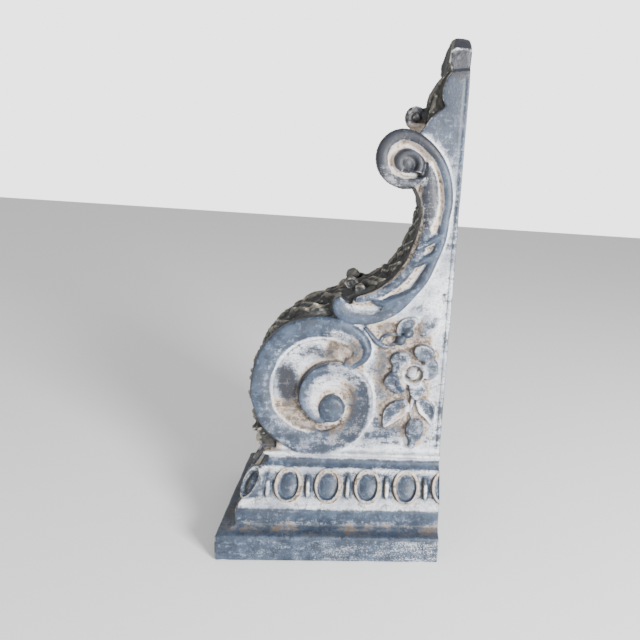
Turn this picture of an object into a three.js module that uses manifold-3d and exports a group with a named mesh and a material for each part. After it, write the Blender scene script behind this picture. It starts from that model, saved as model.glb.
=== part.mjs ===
// A carved scroll corbel, standing upside down on its broad abacus.
// Millimetres, +Z up. X is the projection (front -X, flat wall back +X), Y is the width.
// The origin is the middle of the bed: the flat underside of the abacus.
// The corbel is one block, so everything below is joined into one solid.

import * as THREE from 'three';
import { mergeVertices } from 'three/addons/utils/BufferGeometryUtils.js';
import Module from 'manifold-3d';

const wasm = await Module();
wasm.setup();

// Block sizes
const PROJECTION = 225;
const ABACUS_WIDTH = 184;
const PLINTH_HEIGHT = 28;
const FASCIA_HEIGHT = 17;
const EGG_BAND_HEIGHT = 30;
const NECK_HEIGHT = 12;
const LEDGE_INSET = 16.5;
const EGG_BAND_INSET = 18;
const NECK_INSET = 9;
const CORNER_ROUND = 4;

// Body sizes
const PANEL_HALF_WIDTH = 43;
const BAND_RELIEF = 8;
const BODY_RISE = 392;
const BACK_CHAMFER = 1.5;

// Big side scroll: the drop from its top to its foot, and its successive half turns
const SCROLL_FOOT_GAP = -4;
const SCROLL_RADII = [75.5, 52.5, 36, 17.5];
const SCROLL_SQUASH = 0.94;
const SCROLL_WIDTHS = [20, 25, 18, 10];
const SCROLL_X = -14;
const HOOK_RADIUS = 50;
const EYE_RADIUS = 13;

// Upper volute
const VOLUTE_X = 58;
const VOLUTE_RISE = 300;
const VOLUTE_RADIUS = 28.5;
const VOLUTE_BAND = 12;
const VOLUTE_EYE = 12.5;

// Front carving
const LEAF_HALF_WIDTH = 30;
const LEAF_RELIEF = 9;
const CURL_RADIUS = 9;
const CURL_HALF_WIDTH = 15;
const PENDANT_HALF_WIDTH = 40;
const PENDANT_HEIGHT = 28;
const PENDANT_CROWN = 11;
const PENDANT_DEPTH = 18;
const PENDANT_BOW = 3;
const PENDANT_LAP = 9;

// Egg and dart
const EGG_WIDTH = 20;
const EGG_PITCH_SIDE = 40.6;
const EGG_RELIEF = 5;
const RIM_THICKNESS = 3.2;
const DART_WIDTH = 6;

// Rose spray on the side panels
const ROSE_X = 79;
const ROSE_RISE = 90;
const ROSE_RADIUS = 27;
const ROSE_RELIEF = 8;

const WALL_X = PROJECTION / 2;
const FRONT_X = -PROJECTION / 2;
const LEDGE_TOP = PLINTH_HEIGHT + 3;
const FASCIA_TOP = LEDGE_TOP + FASCIA_HEIGHT;
const EGG_BASE = FASCIA_TOP + 5;
const EGG_TOP = EGG_BASE + EGG_BAND_HEIGHT;
const ABACUS_TOP = EGG_TOP + 2 + NECK_HEIGHT + 3;
const BODY_FOOT = ABACUS_TOP - 2;
const BODY_TOP = BODY_FOOT + BODY_RISE;
const BAND_FACE = PANEL_HALF_WIDTH + BAND_RELIEF;
const EGG_FOOT_INSET = LEDGE_INSET + 4;
const EGG_HEAD_INSET = EGG_FOOT_INSET + EGG_BAND_INSET;

// A closed mesh becomes a solid, turned the right way out.
function toSolid(geometry) {
  let plain = geometry.index ? geometry.toNonIndexed() : geometry.clone();
  plain.deleteAttribute('normal');
  plain.deleteAttribute('uv');
  plain = mergeVertices(plain, 1e-4);
  const position = plain.attributes.position;
  const index = Array.from(plain.index.array);
  const corners = [new THREE.Vector3(), new THREE.Vector3(), new THREE.Vector3()];
  let volume = 0;
  for (let i = 0; i < index.length; i += 3) {
    for (let j = 0; j < 3; j++) corners[j].fromBufferAttribute(position, index[i + j]);
    volume += corners[0].dot(corners[1].clone().cross(corners[2]));
  }
  if (volume < 0) {
    for (let i = 0; i < index.length; i += 3) [index[i], index[i + 1]] = [index[i + 1], index[i]];
  }
  return new wasm.Manifold(new wasm.Mesh({
    numProp: 3,
    vertProperties: new Float32Array(position.array),
    triVerts: new Uint32Array(index),
  }));
}

// A skin over rings of equal counts, closed by a fan at each end.
function loft(rings) {
  const count = rings[0].length;
  const positions = [];
  for (const ring of rings) for (const point of ring) positions.push(point.x, point.y, point.z);
  const index = [];
  for (let i = 0; i + 1 < rings.length; i++) {
    for (let j = 0; j < count; j++) {
      const a = i * count + j;
      const b = i * count + (j + 1) % count;
      index.push(a, b, a + count, b, b + count, a + count);
    }
  }
  for (const end of [0, rings.length - 1]) {
    const middle = new THREE.Vector3();
    for (const point of rings[end]) middle.addScaledVector(point, 1 / count);
    const hub = positions.length / 3;
    positions.push(middle.x, middle.y, middle.z);
    for (let j = 0; j < count; j++) {
      const a = end * count + j;
      const b = end * count + (j + 1) % count;
      if (end === 0) index.push(hub, b, a);
      else index.push(hub, a, b);
    }
  }
  const geometry = new THREE.BufferGeometry();
  geometry.setAttribute('position', new THREE.Float32BufferAttribute(positions, 3));
  geometry.setIndex(index);
  return geometry;
}

// A flat outline in X and Z, given thickness across the width.
function slab(outline, fromY, toY) {
  const shape = new THREE.Shape(outline.map(([x, z]) => new THREE.Vector2(x, z)));
  const geometry = new THREE.ExtrudeGeometry(shape, { depth: toY - fromY, bevelEnabled: false });
  geometry.rotateX(Math.PI / 2);
  geometry.translate(0, toY, 0);
  return geometry;
}

// An ellipsoid, used for petals, eggs and berries.
function dome(at, radii, turn = [0, 0, 0], segments = [7, 4]) {
  const geometry = new THREE.SphereGeometry(1, segments[0], segments[1]);
  geometry.rotateX(Math.PI / 2);
  geometry.scale(radii[0], radii[1], radii[2]);
  geometry.applyMatrix4(new THREE.Matrix4().makeRotationFromEuler(new THREE.Euler(...turn, 'XYZ')));
  geometry.translate(at[0], at[1], at[2]);
  return geometry;
}

// Points on part of an ellipse in X and Z, with a width that runs from one value to the next.
function arc(cx, cz, rx, rz, from, to, steps, widthFrom, widthTo) {
  const stations = [];
  for (let i = 0; i <= steps; i++) {
    const share = i / steps;
    const width = widthFrom + (widthTo - widthFrom) * share;
    const angle = THREE.MathUtils.degToRad(from + (to - from) * share);
    const x = cx + (rx - width / 2) * Math.cos(angle);
    const z = cz + (rz - width / 2) * Math.sin(angle);
    stations.push({ x, z, width });
  }
  return stations;
}

// A raised band with rounded shoulders along stations on one side of the body.
function band(stations, side, rootY, faceY, shoulder = 3) {
  const rings = stations.map((station, i) => {
    const before = stations[Math.max(i - 1, 0)];
    const after = stations[Math.min(i + 1, stations.length - 1)];
    const along = new THREE.Vector2(after.x - before.x, after.z - before.z).normalize();
    const half = station.width / 2;
    const bevel = Math.min(shoulder, half * 0.6);
    const section = [
      [-half, rootY],
      [-half, faceY - bevel],
      [-half + bevel, faceY],
      [half - bevel, faceY],
      [half, faceY - bevel],
      [half, rootY],
    ];
    return section.map(([across, y]) => new THREE.Vector3(
      station.x - along.y * across, side * y, station.z + along.x * across));
  });
  return loft(rings);
}

// Abacus: plinth, ledge, fascia, fillet, egg band, neck and the body's foot ledge.
// Each moulding steps in on the front and both sides, and all of them end flush at the wall.
function abacusRing(inset, z) {
  const half = ABACUS_WIDTH / 2 - inset;
  const front = FRONT_X + inset;
  const round = CORNER_ROUND;
  return [
    new THREE.Vector3(WALL_X, -half, z),
    new THREE.Vector3(WALL_X, half, z),
    new THREE.Vector3(front + round, half, z),
    new THREE.Vector3(front, half - round, z),
    new THREE.Vector3(front, -half + round, z),
    new THREE.Vector3(front + round, -half, z),
  ];
}

const abacusProfile = [
  [3, 0],
  [0, 3],
  [0, PLINTH_HEIGHT - 3],
  [2, PLINTH_HEIGHT],
  [LEDGE_INSET - 4, PLINTH_HEIGHT + 0.5],
  [LEDGE_INSET, LEDGE_TOP],
  [LEDGE_INSET, FASCIA_TOP],
  [LEDGE_INSET + 2.5, FASCIA_TOP + 1.5],
  [LEDGE_INSET + 2.5, EGG_BASE - 1],
  [EGG_FOOT_INSET, EGG_BASE],
  [EGG_FOOT_INSET + EGG_BAND_INSET * 0.5 + 2, EGG_BASE + EGG_BAND_HEIGHT * 0.42],
  [EGG_HEAD_INSET, EGG_TOP],
  [EGG_HEAD_INSET - 1, EGG_TOP + 2],
  [EGG_HEAD_INSET + NECK_INSET - 3, EGG_TOP + 5],
  [EGG_HEAD_INSET + NECK_INSET - 3, ABACUS_TOP - 5],
  [EGG_HEAD_INSET + 1.5, ABACUS_TOP - 3],
  [EGG_HEAD_INSET + 1.5, ABACUS_TOP],
];
const abacus = loft(abacusProfile.map(([inset, z]) => abacusRing(inset, z)));

// Eggs: a raised rim around a domed egg, leaning back with the band, and darts between them.
const EGG_LEAN = Math.atan2(EGG_BAND_INSET, EGG_BAND_HEIGHT);
const EGG_HALF_HEIGHT = Math.hypot(EGG_BAND_INSET, EGG_BAND_HEIGHT) / 2 - 2;
const EGG_Z = EGG_BASE + EGG_BAND_HEIGHT / 2;
const EGG_INSET = EGG_FOOT_INSET + EGG_BAND_INSET / 2 + 1;

function egg(x, y, heading) {
  const rim = new THREE.TorusGeometry(1, 0.2, 4, 9);
  rim.scale(EGG_WIDTH / 2 + RIM_THICKNESS, EGG_HALF_HEIGHT, RIM_THICKNESS * 6);
  const body = new THREE.SphereGeometry(1, 7, 4);
  body.rotateX(Math.PI / 2);
  body.scale(EGG_WIDTH / 2, EGG_HALF_HEIGHT - 2, EGG_RELIEF);
  return [rim, body].map((geometry) => {
    geometry.rotateX(Math.PI / 2 - EGG_LEAN);
    geometry.rotateZ(heading);
    geometry.translate(x, y, EGG_Z);
    return geometry;
  });
}

function dart(x, y, heading) {
  const geometry = new THREE.SphereGeometry(1, 4, 4);
  geometry.scale(DART_WIDTH / 2, EGG_HALF_HEIGHT * 0.75, EGG_RELIEF * 0.8);
  geometry.rotateX(Math.PI / 2 - EGG_LEAN);
  geometry.rotateZ(heading);
  geometry.translate(x, y, EGG_Z - 1);
  return geometry;
}

const eggRow = [];
const cornerX = FRONT_X + EGG_INSET;
const cornerY = ABACUS_WIDTH / 2 - EGG_INSET;
const eggPlanes = [
  { side: -1, heading: 0 },
  { side: 1, heading: Math.PI },
];
for (const { side, heading } of eggPlanes) {
  for (let x = cornerX + EGG_PITCH_SIDE; x < WALL_X - EGG_WIDTH / 2; x += EGG_PITCH_SIDE) {
    eggRow.push(...egg(x, side * cornerY, heading));
    eggRow.push(dart(x - EGG_PITCH_SIDE / 2, side * cornerY, heading));
    eggRow.push(dart(x + EGG_PITCH_SIDE / 2, side * cornerY, heading));
  }
  eggRow.push(...egg(cornerX, side * cornerY, side < 0 ? -Math.PI / 4 : -Math.PI * 3 / 4));
}
const frontGaps = Math.round(2 * cornerY / EGG_PITCH_SIDE);
const frontPitch = 2 * cornerY / frontGaps;
for (let i = 0; i < frontGaps; i++) {
  eggRow.push(dart(cornerX, -cornerY + (i + 0.5) * frontPitch, -Math.PI / 2));
  if (i > 0) eggRow.push(...egg(cornerX, -cornerY + i * frontPitch, -Math.PI / 2));
}

// Big scroll: half turns that share their end points, as a mason sets out a volute.
const [R1, R2, R3, R4] = SCROLL_RADII;
const [W1, W2, W3, W4] = SCROLL_WIDTHS;
const scrollFoot = ABACUS_TOP + SCROLL_FOOT_GAP;
const scrollZ = scrollFoot + R1;
const innerTop = scrollFoot + 2 * R2;
const innerFoot = innerTop - 2 * R3;
const eyeZ = innerFoot + R4;
const eyeX = SCROLL_X + 8;
const hookZ = scrollZ + R1 - HOOK_RADIUS;
const scrollPath = [
  ...arc(SCROLL_X, hookZ, HOOK_RADIUS, HOOK_RADIUS, 2, 82, 6, 14, W1),
  ...arc(SCROLL_X, scrollZ, R1 * SCROLL_SQUASH, R1, 92, 264, 12, W1, W2),
  ...arc(SCROLL_X + 4, scrollFoot + R2, R2 * SCROLL_SQUASH, R2, 274, 444, 10, W2, W3),
  ...arc(SCROLL_X + 4, innerTop - R3, R3 * 0.86, R3, 96, 262, 8, W3, W4),
];
const scrollOutline = [
  ...arc(SCROLL_X, scrollZ, R1 * SCROLL_SQUASH, R1, 92, 250, 12, 6, 6),
].map(({ x, z }) => [x, z]);

// S band: the upper volute, the long outward sweep and the foot that rests on the scroll.
const voluteZ = BODY_FOOT + VOLUTE_RISE;
const footZ = scrollZ + R1 + 9;
const sweepPoints = [
  [VOLUTE_X - 3, voluteZ + VOLUTE_RADIUS - 5, 11],
  [VOLUTE_X + 17, voluteZ + 18, 15],
  [VOLUTE_X + 29, voluteZ - 3, 20],
  [VOLUTE_X + 32, voluteZ - 29, 27],
  [VOLUTE_X + 30, voluteZ - 58, 27],
  [VOLUTE_X + 20, voluteZ - 90, 24],
  [VOLUTE_X + 2, voluteZ - 118, 23],
  [VOLUTE_X - 24, footZ + 5, 26],
  [SCROLL_X + 26, footZ - 1, 22],
  [SCROLL_X + 13, footZ, 12],
];
const sweepLine = new THREE.CatmullRomCurve3(sweepPoints.map(([x, z, w]) => new THREE.Vector3(x, w, z)));
const sweepPath = sweepLine.getPoints(22).map((point) => ({ x: point.x, z: point.z, width: point.y }));
const voluteTurn = arc(VOLUTE_X - 1, voluteZ, VOLUTE_RADIUS, VOLUTE_RADIUS, 84, 300, 12, 11, VOLUTE_BAND);

// Side panel: the flat field behind the bands, from the neck up to the pendant.
const wallFront = [
  [WALL_X - 19, BODY_TOP - 6],
  [WALL_X - 25, BODY_TOP - 24],
  [WALL_X - 26, BODY_TOP - 36],
  [WALL_X - 21, BODY_TOP - 41],
  [WALL_X - 27, BODY_TOP - 46],
  [VOLUTE_X + 15, voluteZ + 30],
];
const panelOutline = [
  [WALL_X - BACK_CHAMFER, BODY_FOOT - 6],
  [WALL_X - BACK_CHAMFER, BODY_TOP],
  ...wallFront,
  [VOLUTE_X - 4, voluteZ + 24],
  [VOLUTE_X - 22, voluteZ + 12],
  [VOLUTE_X - 24, voluteZ - 8],
  [VOLUTE_X - 8, voluteZ - 22],
  [VOLUTE_X + 12, voluteZ - 26],
  [VOLUTE_X + 22, voluteZ - 42],
  [VOLUTE_X + 18, voluteZ - 74],
  [VOLUTE_X + 4, voluteZ - 100],
  [VOLUTE_X - 18, footZ + 20],
  [SCROLL_X + 18, footZ + 6],
  ...scrollOutline,
  [SCROLL_X - 50, BODY_FOOT - 6],
];
const panel = slab(panelOutline, -PANEL_HALF_WIDTH, PANEL_HALF_WIDTH);
const backStrip = slab([
  [WALL_X - 12, BODY_FOOT - 6],
  [WALL_X, BODY_FOOT - 6],
  [WALL_X, BODY_TOP],
  [WALL_X - 12, BODY_TOP],
], -PANEL_HALF_WIDTH + BACK_CHAMFER, PANEL_HALF_WIDTH - BACK_CHAMFER);

// Front leaves: a ribbed strip over a path, with lobes at its edges.
function leafStrip(points, halfWidth, relief, depth, lobes, steps) {
  const curve = new THREE.CatmullRomCurve3(points.map(([x, z]) => new THREE.Vector3(x, 0, z)));
  const rings = [];
  for (let i = 0; i <= steps; i++) {
    const share = i / steps;
    const point = curve.getPointAt(share);
    const along = curve.getTangentAt(share);
    const out = new THREE.Vector3(-along.z, 0, along.x);
    const lobe = Math.abs(Math.sin(Math.PI * lobes * share));
    const half = halfWidth * (0.78 + 0.22 * lobe);
    const rise = relief * (0.55 + 0.45 * lobe);
    const section = [
      [-half, -depth],
      [-half, rise * 0.2],
      [-half * 0.66, rise],
      [-half * 0.36, rise * 0.35],
      [0, relief],
      [half * 0.36, rise * 0.35],
      [half * 0.66, rise],
      [half, rise * 0.2],
      [half, -depth],
    ];
    rings.push(section.map(([y, rise_]) => point.clone().addScaledVector(out, rise_).setY(y)));
  }
  return loft(rings);
}

// The lower leaf wraps the scroll, the hollow leaf lines the hollow, the top leaf backs the wall strip.
const lowerLeaf = leafStrip([
  [SCROLL_X - 70, scrollFoot + 12],
  [SCROLL_X - 74, scrollZ - 25],
  [SCROLL_X - 76, scrollZ - 6],
  [SCROLL_X - 68, scrollZ + 24],
  [SCROLL_X - 46, scrollZ + 56],
  [SCROLL_X - 18, scrollZ + 73],
  [SCROLL_X + 18, scrollZ + 84],
  [SCROLL_X + 44, scrollZ + 100],
].map(([x, z]) => [x, z]), LEAF_HALF_WIDTH + 6, LEAF_RELIEF, 12, 5, 20);
const hollowLeaf = leafStrip([
  [SCROLL_X + 26, footZ + 12],
  [VOLUTE_X - 16, voluteZ - 114],
  [VOLUTE_X + 4, voluteZ - 92],
  [VOLUTE_X + 15, voluteZ - 64],
  [VOLUTE_X + 15, voluteZ - 40],
], LEAF_HALF_WIDTH + 2, LEAF_RELIEF, 14, 5, 14);
const topLeaf = leafStrip([
  [VOLUTE_X + 15, voluteZ + 32],
  [VOLUTE_X + 22, voluteZ + 56],
  [VOLUTE_X + 27, voluteZ + 74],
  [VOLUTE_X + 38, voluteZ + 92],
], LEAF_HALF_WIDTH - 2, LEAF_RELIEF * 0.7, 10, 1.5, 7);

// Front curl between the two upper volutes, and the leaf knob above the foot of the S band.
function roll(x, z, radius, halfWidth, sides) {
  const geometry = new THREE.CylinderGeometry(radius, radius, 2 * halfWidth, sides);
  geometry.translate(x, 0, z);
  return geometry;
}
const frontCurl = roll(VOLUTE_X + 9, voluteZ + 42, CURL_RADIUS, CURL_HALF_WIDTH, 14);
const curlNeck = slab([
  [VOLUTE_X + 4, voluteZ + 14],
  [VOLUTE_X + 30, voluteZ + 14],
  [VOLUTE_X + 34, voluteZ + 52],
  [VOLUTE_X + 12, voluteZ + 48],
], -CURL_HALF_WIDTH + 2, CURL_HALF_WIDTH - 2);
const voluteCore = roll(VOLUTE_X - 1, voluteZ, VOLUTE_RADIUS - 5, PANEL_HALF_WIDTH - 4, 18);

// Pendant: a rounded loaf across the top, crowned towards its middle.
function pendantRing(y, crown) {
  const foot = BODY_TOP - PENDANT_LAP;
  const head = foot + PENDANT_HEIGHT + crown;
  const front = WALL_X - PENDANT_DEPTH - PENDANT_BOW * crown / PENDANT_CROWN;
  return [
    [WALL_X, foot + 2],
    [WALL_X, head - 3],
    [WALL_X - 4, head],
    [front + 6, head],
    [front + 1, head - 5],
    [front, head - 12],
    [front, foot + 8],
    [front + 4, foot + 2],
    [WALL_X - 8, foot],
  ].map(([x, z]) => new THREE.Vector3(x, y, z));
}
const pendant = loft([
  [-PENDANT_HALF_WIDTH, 0],
  [-PENDANT_HALF_WIDTH + 5, 0.45],
  [-PENDANT_HALF_WIDTH * 0.5, 0.85],
  [0, 1],
  [PENDANT_HALF_WIDTH * 0.5, 0.85],
  [PENDANT_HALF_WIDTH - 5, 0.45],
  [PENDANT_HALF_WIDTH, 0],
].map(([y, share]) => pendantRing(y, PENDANT_CROWN * share)));

// Rose spray: petals around a heart, four leaves, two berries, a stem and a bell bud.
function spray(side) {
  const roseZ = BODY_FOOT + ROSE_RISE;
  const face = side * (PANEL_HALF_WIDTH - 1);
  const pieces = [];
  const place = (dx, dz, rx, ry, rz, tilt, segments) => pieces.push(dome(
    [ROSE_X + dx, face, roseZ + dz], [rx, ry, rz], [0, THREE.MathUtils.degToRad(-tilt), 0], segments));
  for (let i = 0; i < 5; i++) {
    const angle = THREE.MathUtils.degToRad(100 + 72 * i);
    const reach = ROSE_RADIUS * 0.6;
    place(reach * Math.cos(angle), reach * Math.sin(angle), 12.5, ROSE_RELIEF * 0.8, 10, 100 + 72 * i + 90);
  }
  place(0, 0, 9, ROSE_RELIEF + 2, 9, 0);
  place(-10, 51, 12, 5, 5.5, -24);
  place(14, 55, 14, 5, 7, 48);
  place(-17, -47, 16, 5, 7.5, 50);
  place(13, -42, 14, 5, 7, -55);
  place(-17, 37, 5, 6, 5, 0, [6, 5]);
  place(-9, 44, 5, 6, 5, 0, [6, 5]);
  place(-1, -34, 3, 4, 12, 4, [6, 4]);
  place(2, -66, 8, 6, 16, 4);
  place(-34, 32, 16, 3.5, 3, 40, [6, 4]);
  return pieces;
}

const solids = [
  abacus,
  panel,
  backStrip,
  lowerLeaf,
  hollowLeaf,
  topLeaf,
  frontCurl,
  curlNeck,
  voluteCore,
  pendant,
  ...eggRow,
];
for (const side of [-1, 1]) {
  const root = PANEL_HALF_WIDTH - 12;
  solids.push(band(scrollPath, side, root, BAND_FACE));
  solids.push(band(sweepPath, side, root, BAND_FACE));
  solids.push(band(voluteTurn, side, root, BAND_FACE));
  solids.push(dome([eyeX, side * (PANEL_HALF_WIDTH - 2), eyeZ], [EYE_RADIUS, 10, EYE_RADIUS]));
  solids.push(dome([VOLUTE_X, side * (PANEL_HALF_WIDTH - 2), voluteZ], [VOLUTE_EYE, 10, VOLUTE_EYE]));
  solids.push(dome([SCROLL_X + 19, side * 24, footZ + 15], [9, 10, 9]));
  solids.push(...spray(side));
}

let block = toSolid(solids[0]);
for (const geometry of solids.slice(1)) block = block.add(toSolid(geometry));

// Nothing stands out past the wall face, the bed or the plinth's plan.
const room = new THREE.BoxGeometry(PROJECTION, ABACUS_WIDTH, 900);
room.translate(0, 0, 450);
block = block.intersect(toSolid(room));

// Only the outer skin is kept, so no pocket stays shut in where carved pieces lap.
block = block.decompose().reduce((best, piece) => (piece.volume() > best.volume() ? piece : best));

const mesh = block.getMesh();
const joined = new THREE.BufferGeometry();
const flat = [];
for (let i = 0; i < mesh.vertProperties.length; i += mesh.numProp) {
  flat.push(mesh.vertProperties[i], mesh.vertProperties[i + 1], mesh.vertProperties[i + 2]);
}
joined.setAttribute('position', new THREE.Float32BufferAttribute(flat, 3));
joined.setIndex(Array.from(mesh.triVerts));
joined.computeVertexNormals();

const stone = new THREE.MeshStandardMaterial({ color: 0x8fa0b0, roughness: 0.7, metalness: 0 });
const corbel = new THREE.Mesh(joined, stone);
corbel.name = 'corbel';

const group = new THREE.Group();
group.add(corbel);

export default group;
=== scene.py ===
import bpy
import bmesh
import math
import numpy as np
from mathutils import Vector, Matrix


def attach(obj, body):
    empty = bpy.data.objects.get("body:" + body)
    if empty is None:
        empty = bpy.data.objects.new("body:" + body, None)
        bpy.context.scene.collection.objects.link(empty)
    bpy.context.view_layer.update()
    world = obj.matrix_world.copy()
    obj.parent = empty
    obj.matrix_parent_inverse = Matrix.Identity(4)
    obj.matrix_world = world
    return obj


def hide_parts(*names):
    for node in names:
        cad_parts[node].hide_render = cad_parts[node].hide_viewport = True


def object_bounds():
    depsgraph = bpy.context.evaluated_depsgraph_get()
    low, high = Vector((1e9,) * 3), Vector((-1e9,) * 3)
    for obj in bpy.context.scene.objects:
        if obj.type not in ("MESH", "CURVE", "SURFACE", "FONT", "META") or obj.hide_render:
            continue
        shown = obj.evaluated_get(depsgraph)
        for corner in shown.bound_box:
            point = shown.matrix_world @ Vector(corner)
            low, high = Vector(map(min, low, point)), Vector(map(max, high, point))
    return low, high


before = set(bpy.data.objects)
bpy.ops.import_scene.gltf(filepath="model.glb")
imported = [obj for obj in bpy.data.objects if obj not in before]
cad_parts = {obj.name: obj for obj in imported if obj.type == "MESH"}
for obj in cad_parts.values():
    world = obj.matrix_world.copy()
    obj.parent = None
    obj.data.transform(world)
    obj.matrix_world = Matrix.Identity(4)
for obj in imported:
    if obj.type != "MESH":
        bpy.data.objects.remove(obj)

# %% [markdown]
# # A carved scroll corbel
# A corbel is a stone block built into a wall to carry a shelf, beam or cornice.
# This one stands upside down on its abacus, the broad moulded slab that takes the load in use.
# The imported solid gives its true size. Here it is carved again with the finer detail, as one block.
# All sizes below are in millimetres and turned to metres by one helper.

cad_low, cad_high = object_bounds()
MM = 0.001
WALL_X = 112.5
FRONT_X = -112.5
ABACUS_HALF = 92
PANEL = 43
RELIEF = 8
print("solid box", [round(v, 4) for v in cad_low], [round(v, 4) for v in cad_high])

# %% [markdown]
# ## Camera, floor and light
# The camera stands close to the corbel, a little above its middle and turned a few degrees, as a
# hand-held photograph is taken. The lens and the small shift give the same framing.
# The floor is plain and pale. One large soft light from the right models the carving, and a pale
# world fills the shadows.

# %% Camera
def aim_camera(place, yaw, pitch, roll, focal_px, centre_px):
    """Put a camera in the scene from its place, three turns and its centre in a 640 px frame."""
    level = Vector((math.sin(yaw), math.cos(yaw), 0))
    forward = level * math.cos(pitch) - Vector((0, 0, 1)) * math.sin(pitch)
    upright = Vector((0, 0, 1)) * math.cos(pitch) + level * math.sin(pitch)
    right = Vector((math.cos(yaw), -math.sin(yaw), 0))
    right_r = right * math.cos(roll) + upright * math.sin(roll)
    up_r = -right * math.sin(roll) + upright * math.cos(roll)
    data = bpy.data.cameras.new("view")
    data.sensor_width = 36
    data.sensor_fit = 'HORIZONTAL'
    data.lens = focal_px / 640 * 36
    data.shift_x = (320 - centre_px[0]) / 640
    data.shift_y = (centre_px[1] - 320) / 640
    camera = bpy.data.objects.new("view", data)
    bpy.context.scene.collection.objects.link(camera)
    turn = Matrix((right_r, up_r, -forward)).transposed().to_4x4()
    camera.matrix_world = Matrix.Translation(Vector(place) * MM) @ turn
    return camera

bpy.context.scene.camera = aim_camera(
    place=(28.43, -637.18, 393.13), yaw=0.0976, pitch=0.2329, roll=0.0726,
    focal_px=605.1, centre_px=(425.5, 315.2))

# %% Floor and light
def deselect():
    """Leave edit mode and deselect everything."""
    if bpy.context.object and bpy.context.object.mode != 'OBJECT':
        bpy.ops.object.mode_set(mode='OBJECT')
    bpy.ops.object.select_all(action='DESELECT')

deselect()
bpy.ops.mesh.primitive_plane_add(size=8, location=(0, 0, 0))
floor = bpy.context.object
floor.name = "floor"
floor_finish = bpy.data.materials.new("pale_floor")
floor_finish.use_nodes = True
floor_shader = floor_finish.node_tree.nodes["Principled BSDF"]
floor_shader.inputs["Base Color"].default_value = (0.93, 0.93, 0.93, 1)
floor_shader.inputs["Roughness"].default_value = 0.9
floor.data.materials.append(floor_finish)

def soft_light(name, place, size, power, aim=(0, 0, 0.26)):
    """A square soft box that looks at the middle of the corbel."""
    data = bpy.data.lights.new(name, 'AREA')
    data.size = size
    data.energy = power
    lamp = bpy.data.objects.new(name, data)
    bpy.context.scene.collection.objects.link(lamp)
    lamp.location = place
    lamp.rotation_euler = (Vector(aim) - Vector(place)).to_track_quat('-Z', 'Y').to_euler()
    return lamp

soft_light("key", (1.05, -1.35, 0.62), 0.45, 86)
soft_light("fill", (-0.9, -1.5, 0.8), 1.2, 8)
world = bpy.data.worlds.new("studio")
world.use_nodes = True
world_nodes = world.node_tree.nodes
ambient = world_nodes["Background"]
ambient.inputs["Color"].default_value = (1, 1, 1, 1)
ambient.inputs["Strength"].default_value = 0.72
backdrop = world_nodes.new("ShaderNodeBackground")
backdrop.inputs["Color"].default_value = (1, 1, 1, 1)
backdrop.inputs["Strength"].default_value = 3
choose = world_nodes.new("ShaderNodeMixShader")
rays = world_nodes.new("ShaderNodeLightPath")
world.node_tree.links.new(rays.outputs["Is Camera Ray"], choose.inputs["Fac"])
world.node_tree.links.new(ambient.outputs["Background"], choose.inputs[1])
world.node_tree.links.new(backdrop.outputs["Background"], choose.inputs[2])
world.node_tree.links.new(choose.outputs["Shader"], world_nodes["World Output"].inputs["Surface"])
bpy.context.scene.world = world
print("camera, floor and two soft lights placed")

# %% [markdown]
# ## Tools for the mason
# Almost every form here is a section drawn along a path: a mason cuts a scroll the same way,
# by running one profile along a drawn line. In Blender that is a filled circle whose face is
# extruded from station to station, with its corners set to the section at each one.
# Petals and leaves are cushions: an outline face that is extruded and drawn in as it rises.

# %% Extrude a section along stations
parts = []

def spots(text):
    """Points written as text: numbers apart by spaces, points by commas. A list passes as it is."""
    if not isinstance(text, str):
        return text
    return [tuple(float(number) for number in spot.split()) for spot in text.split(",")]

def run_section(name, rings):
    """Extrude one face through rings of equal counts (in mm) and close both ends."""
    deselect()
    bpy.ops.mesh.primitive_circle_add(vertices=len(rings[0]), radius=0.01, fill_type='NGON')
    piece = bpy.context.object
    piece.name = name
    bpy.ops.object.mode_set(mode='EDIT')
    form = bmesh.from_edit_mesh(piece.data)
    order = form.verts.layers.int.new("order")
    for i, vert in enumerate(form.verts):
        vert[order] = i
    for vert in form.verts:
        vert.co = Vector(rings[0][vert[order]]) * MM
    bmesh.update_edit_mesh(piece.data)
    for ring in rings[1:]:
        bpy.ops.mesh.extrude_region_move()
        form = bmesh.from_edit_mesh(piece.data)
        order = form.verts.layers.int["order"]
        for vert in form.verts:
            if vert.select:
                vert.co = Vector(ring[vert[order]]) * MM
        bmesh.update_edit_mesh(piece.data)
    bpy.ops.mesh.select_all(action='SELECT')
    bpy.ops.mesh.normals_make_consistent(inside=False)
    bpy.ops.object.mode_set(mode='OBJECT')
    parts.append(piece)
    return piece

def smooth_path(points, steps):
    """Catmull-Rom points through a few stations; every value of a station is blended."""
    data = np.array(spots(points), dtype=float)
    data = np.vstack([2 * data[0] - data[1], data, 2 * data[-1] - data[-2]])
    out = []
    spans = len(data) - 3
    for i in range(steps + 1):
        t = min(i / steps * spans, spans - 1e-9)
        k = int(t)
        f = t - k
        a, b, c, d = data[k:k + 4]
        out.append(0.5 * ((2 * b) + (c - a) * f + (2 * a - 5 * b + 4 * c - d) * f ** 2
                          + (3 * b - a - 3 * c + d) * f ** 3))
    return np.array(out)

def walk(path):
    """Each station with its share of the way and the direction square to the path."""
    for i, station in enumerate(path):
        ahead = path[min(i + 1, len(path) - 1)] - path[max(i - 1, 0)]
        length = math.hypot(ahead[0], ahead[1])
        yield station, i / (len(path) - 1), -ahead[1] / length, ahead[0] / length

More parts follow.
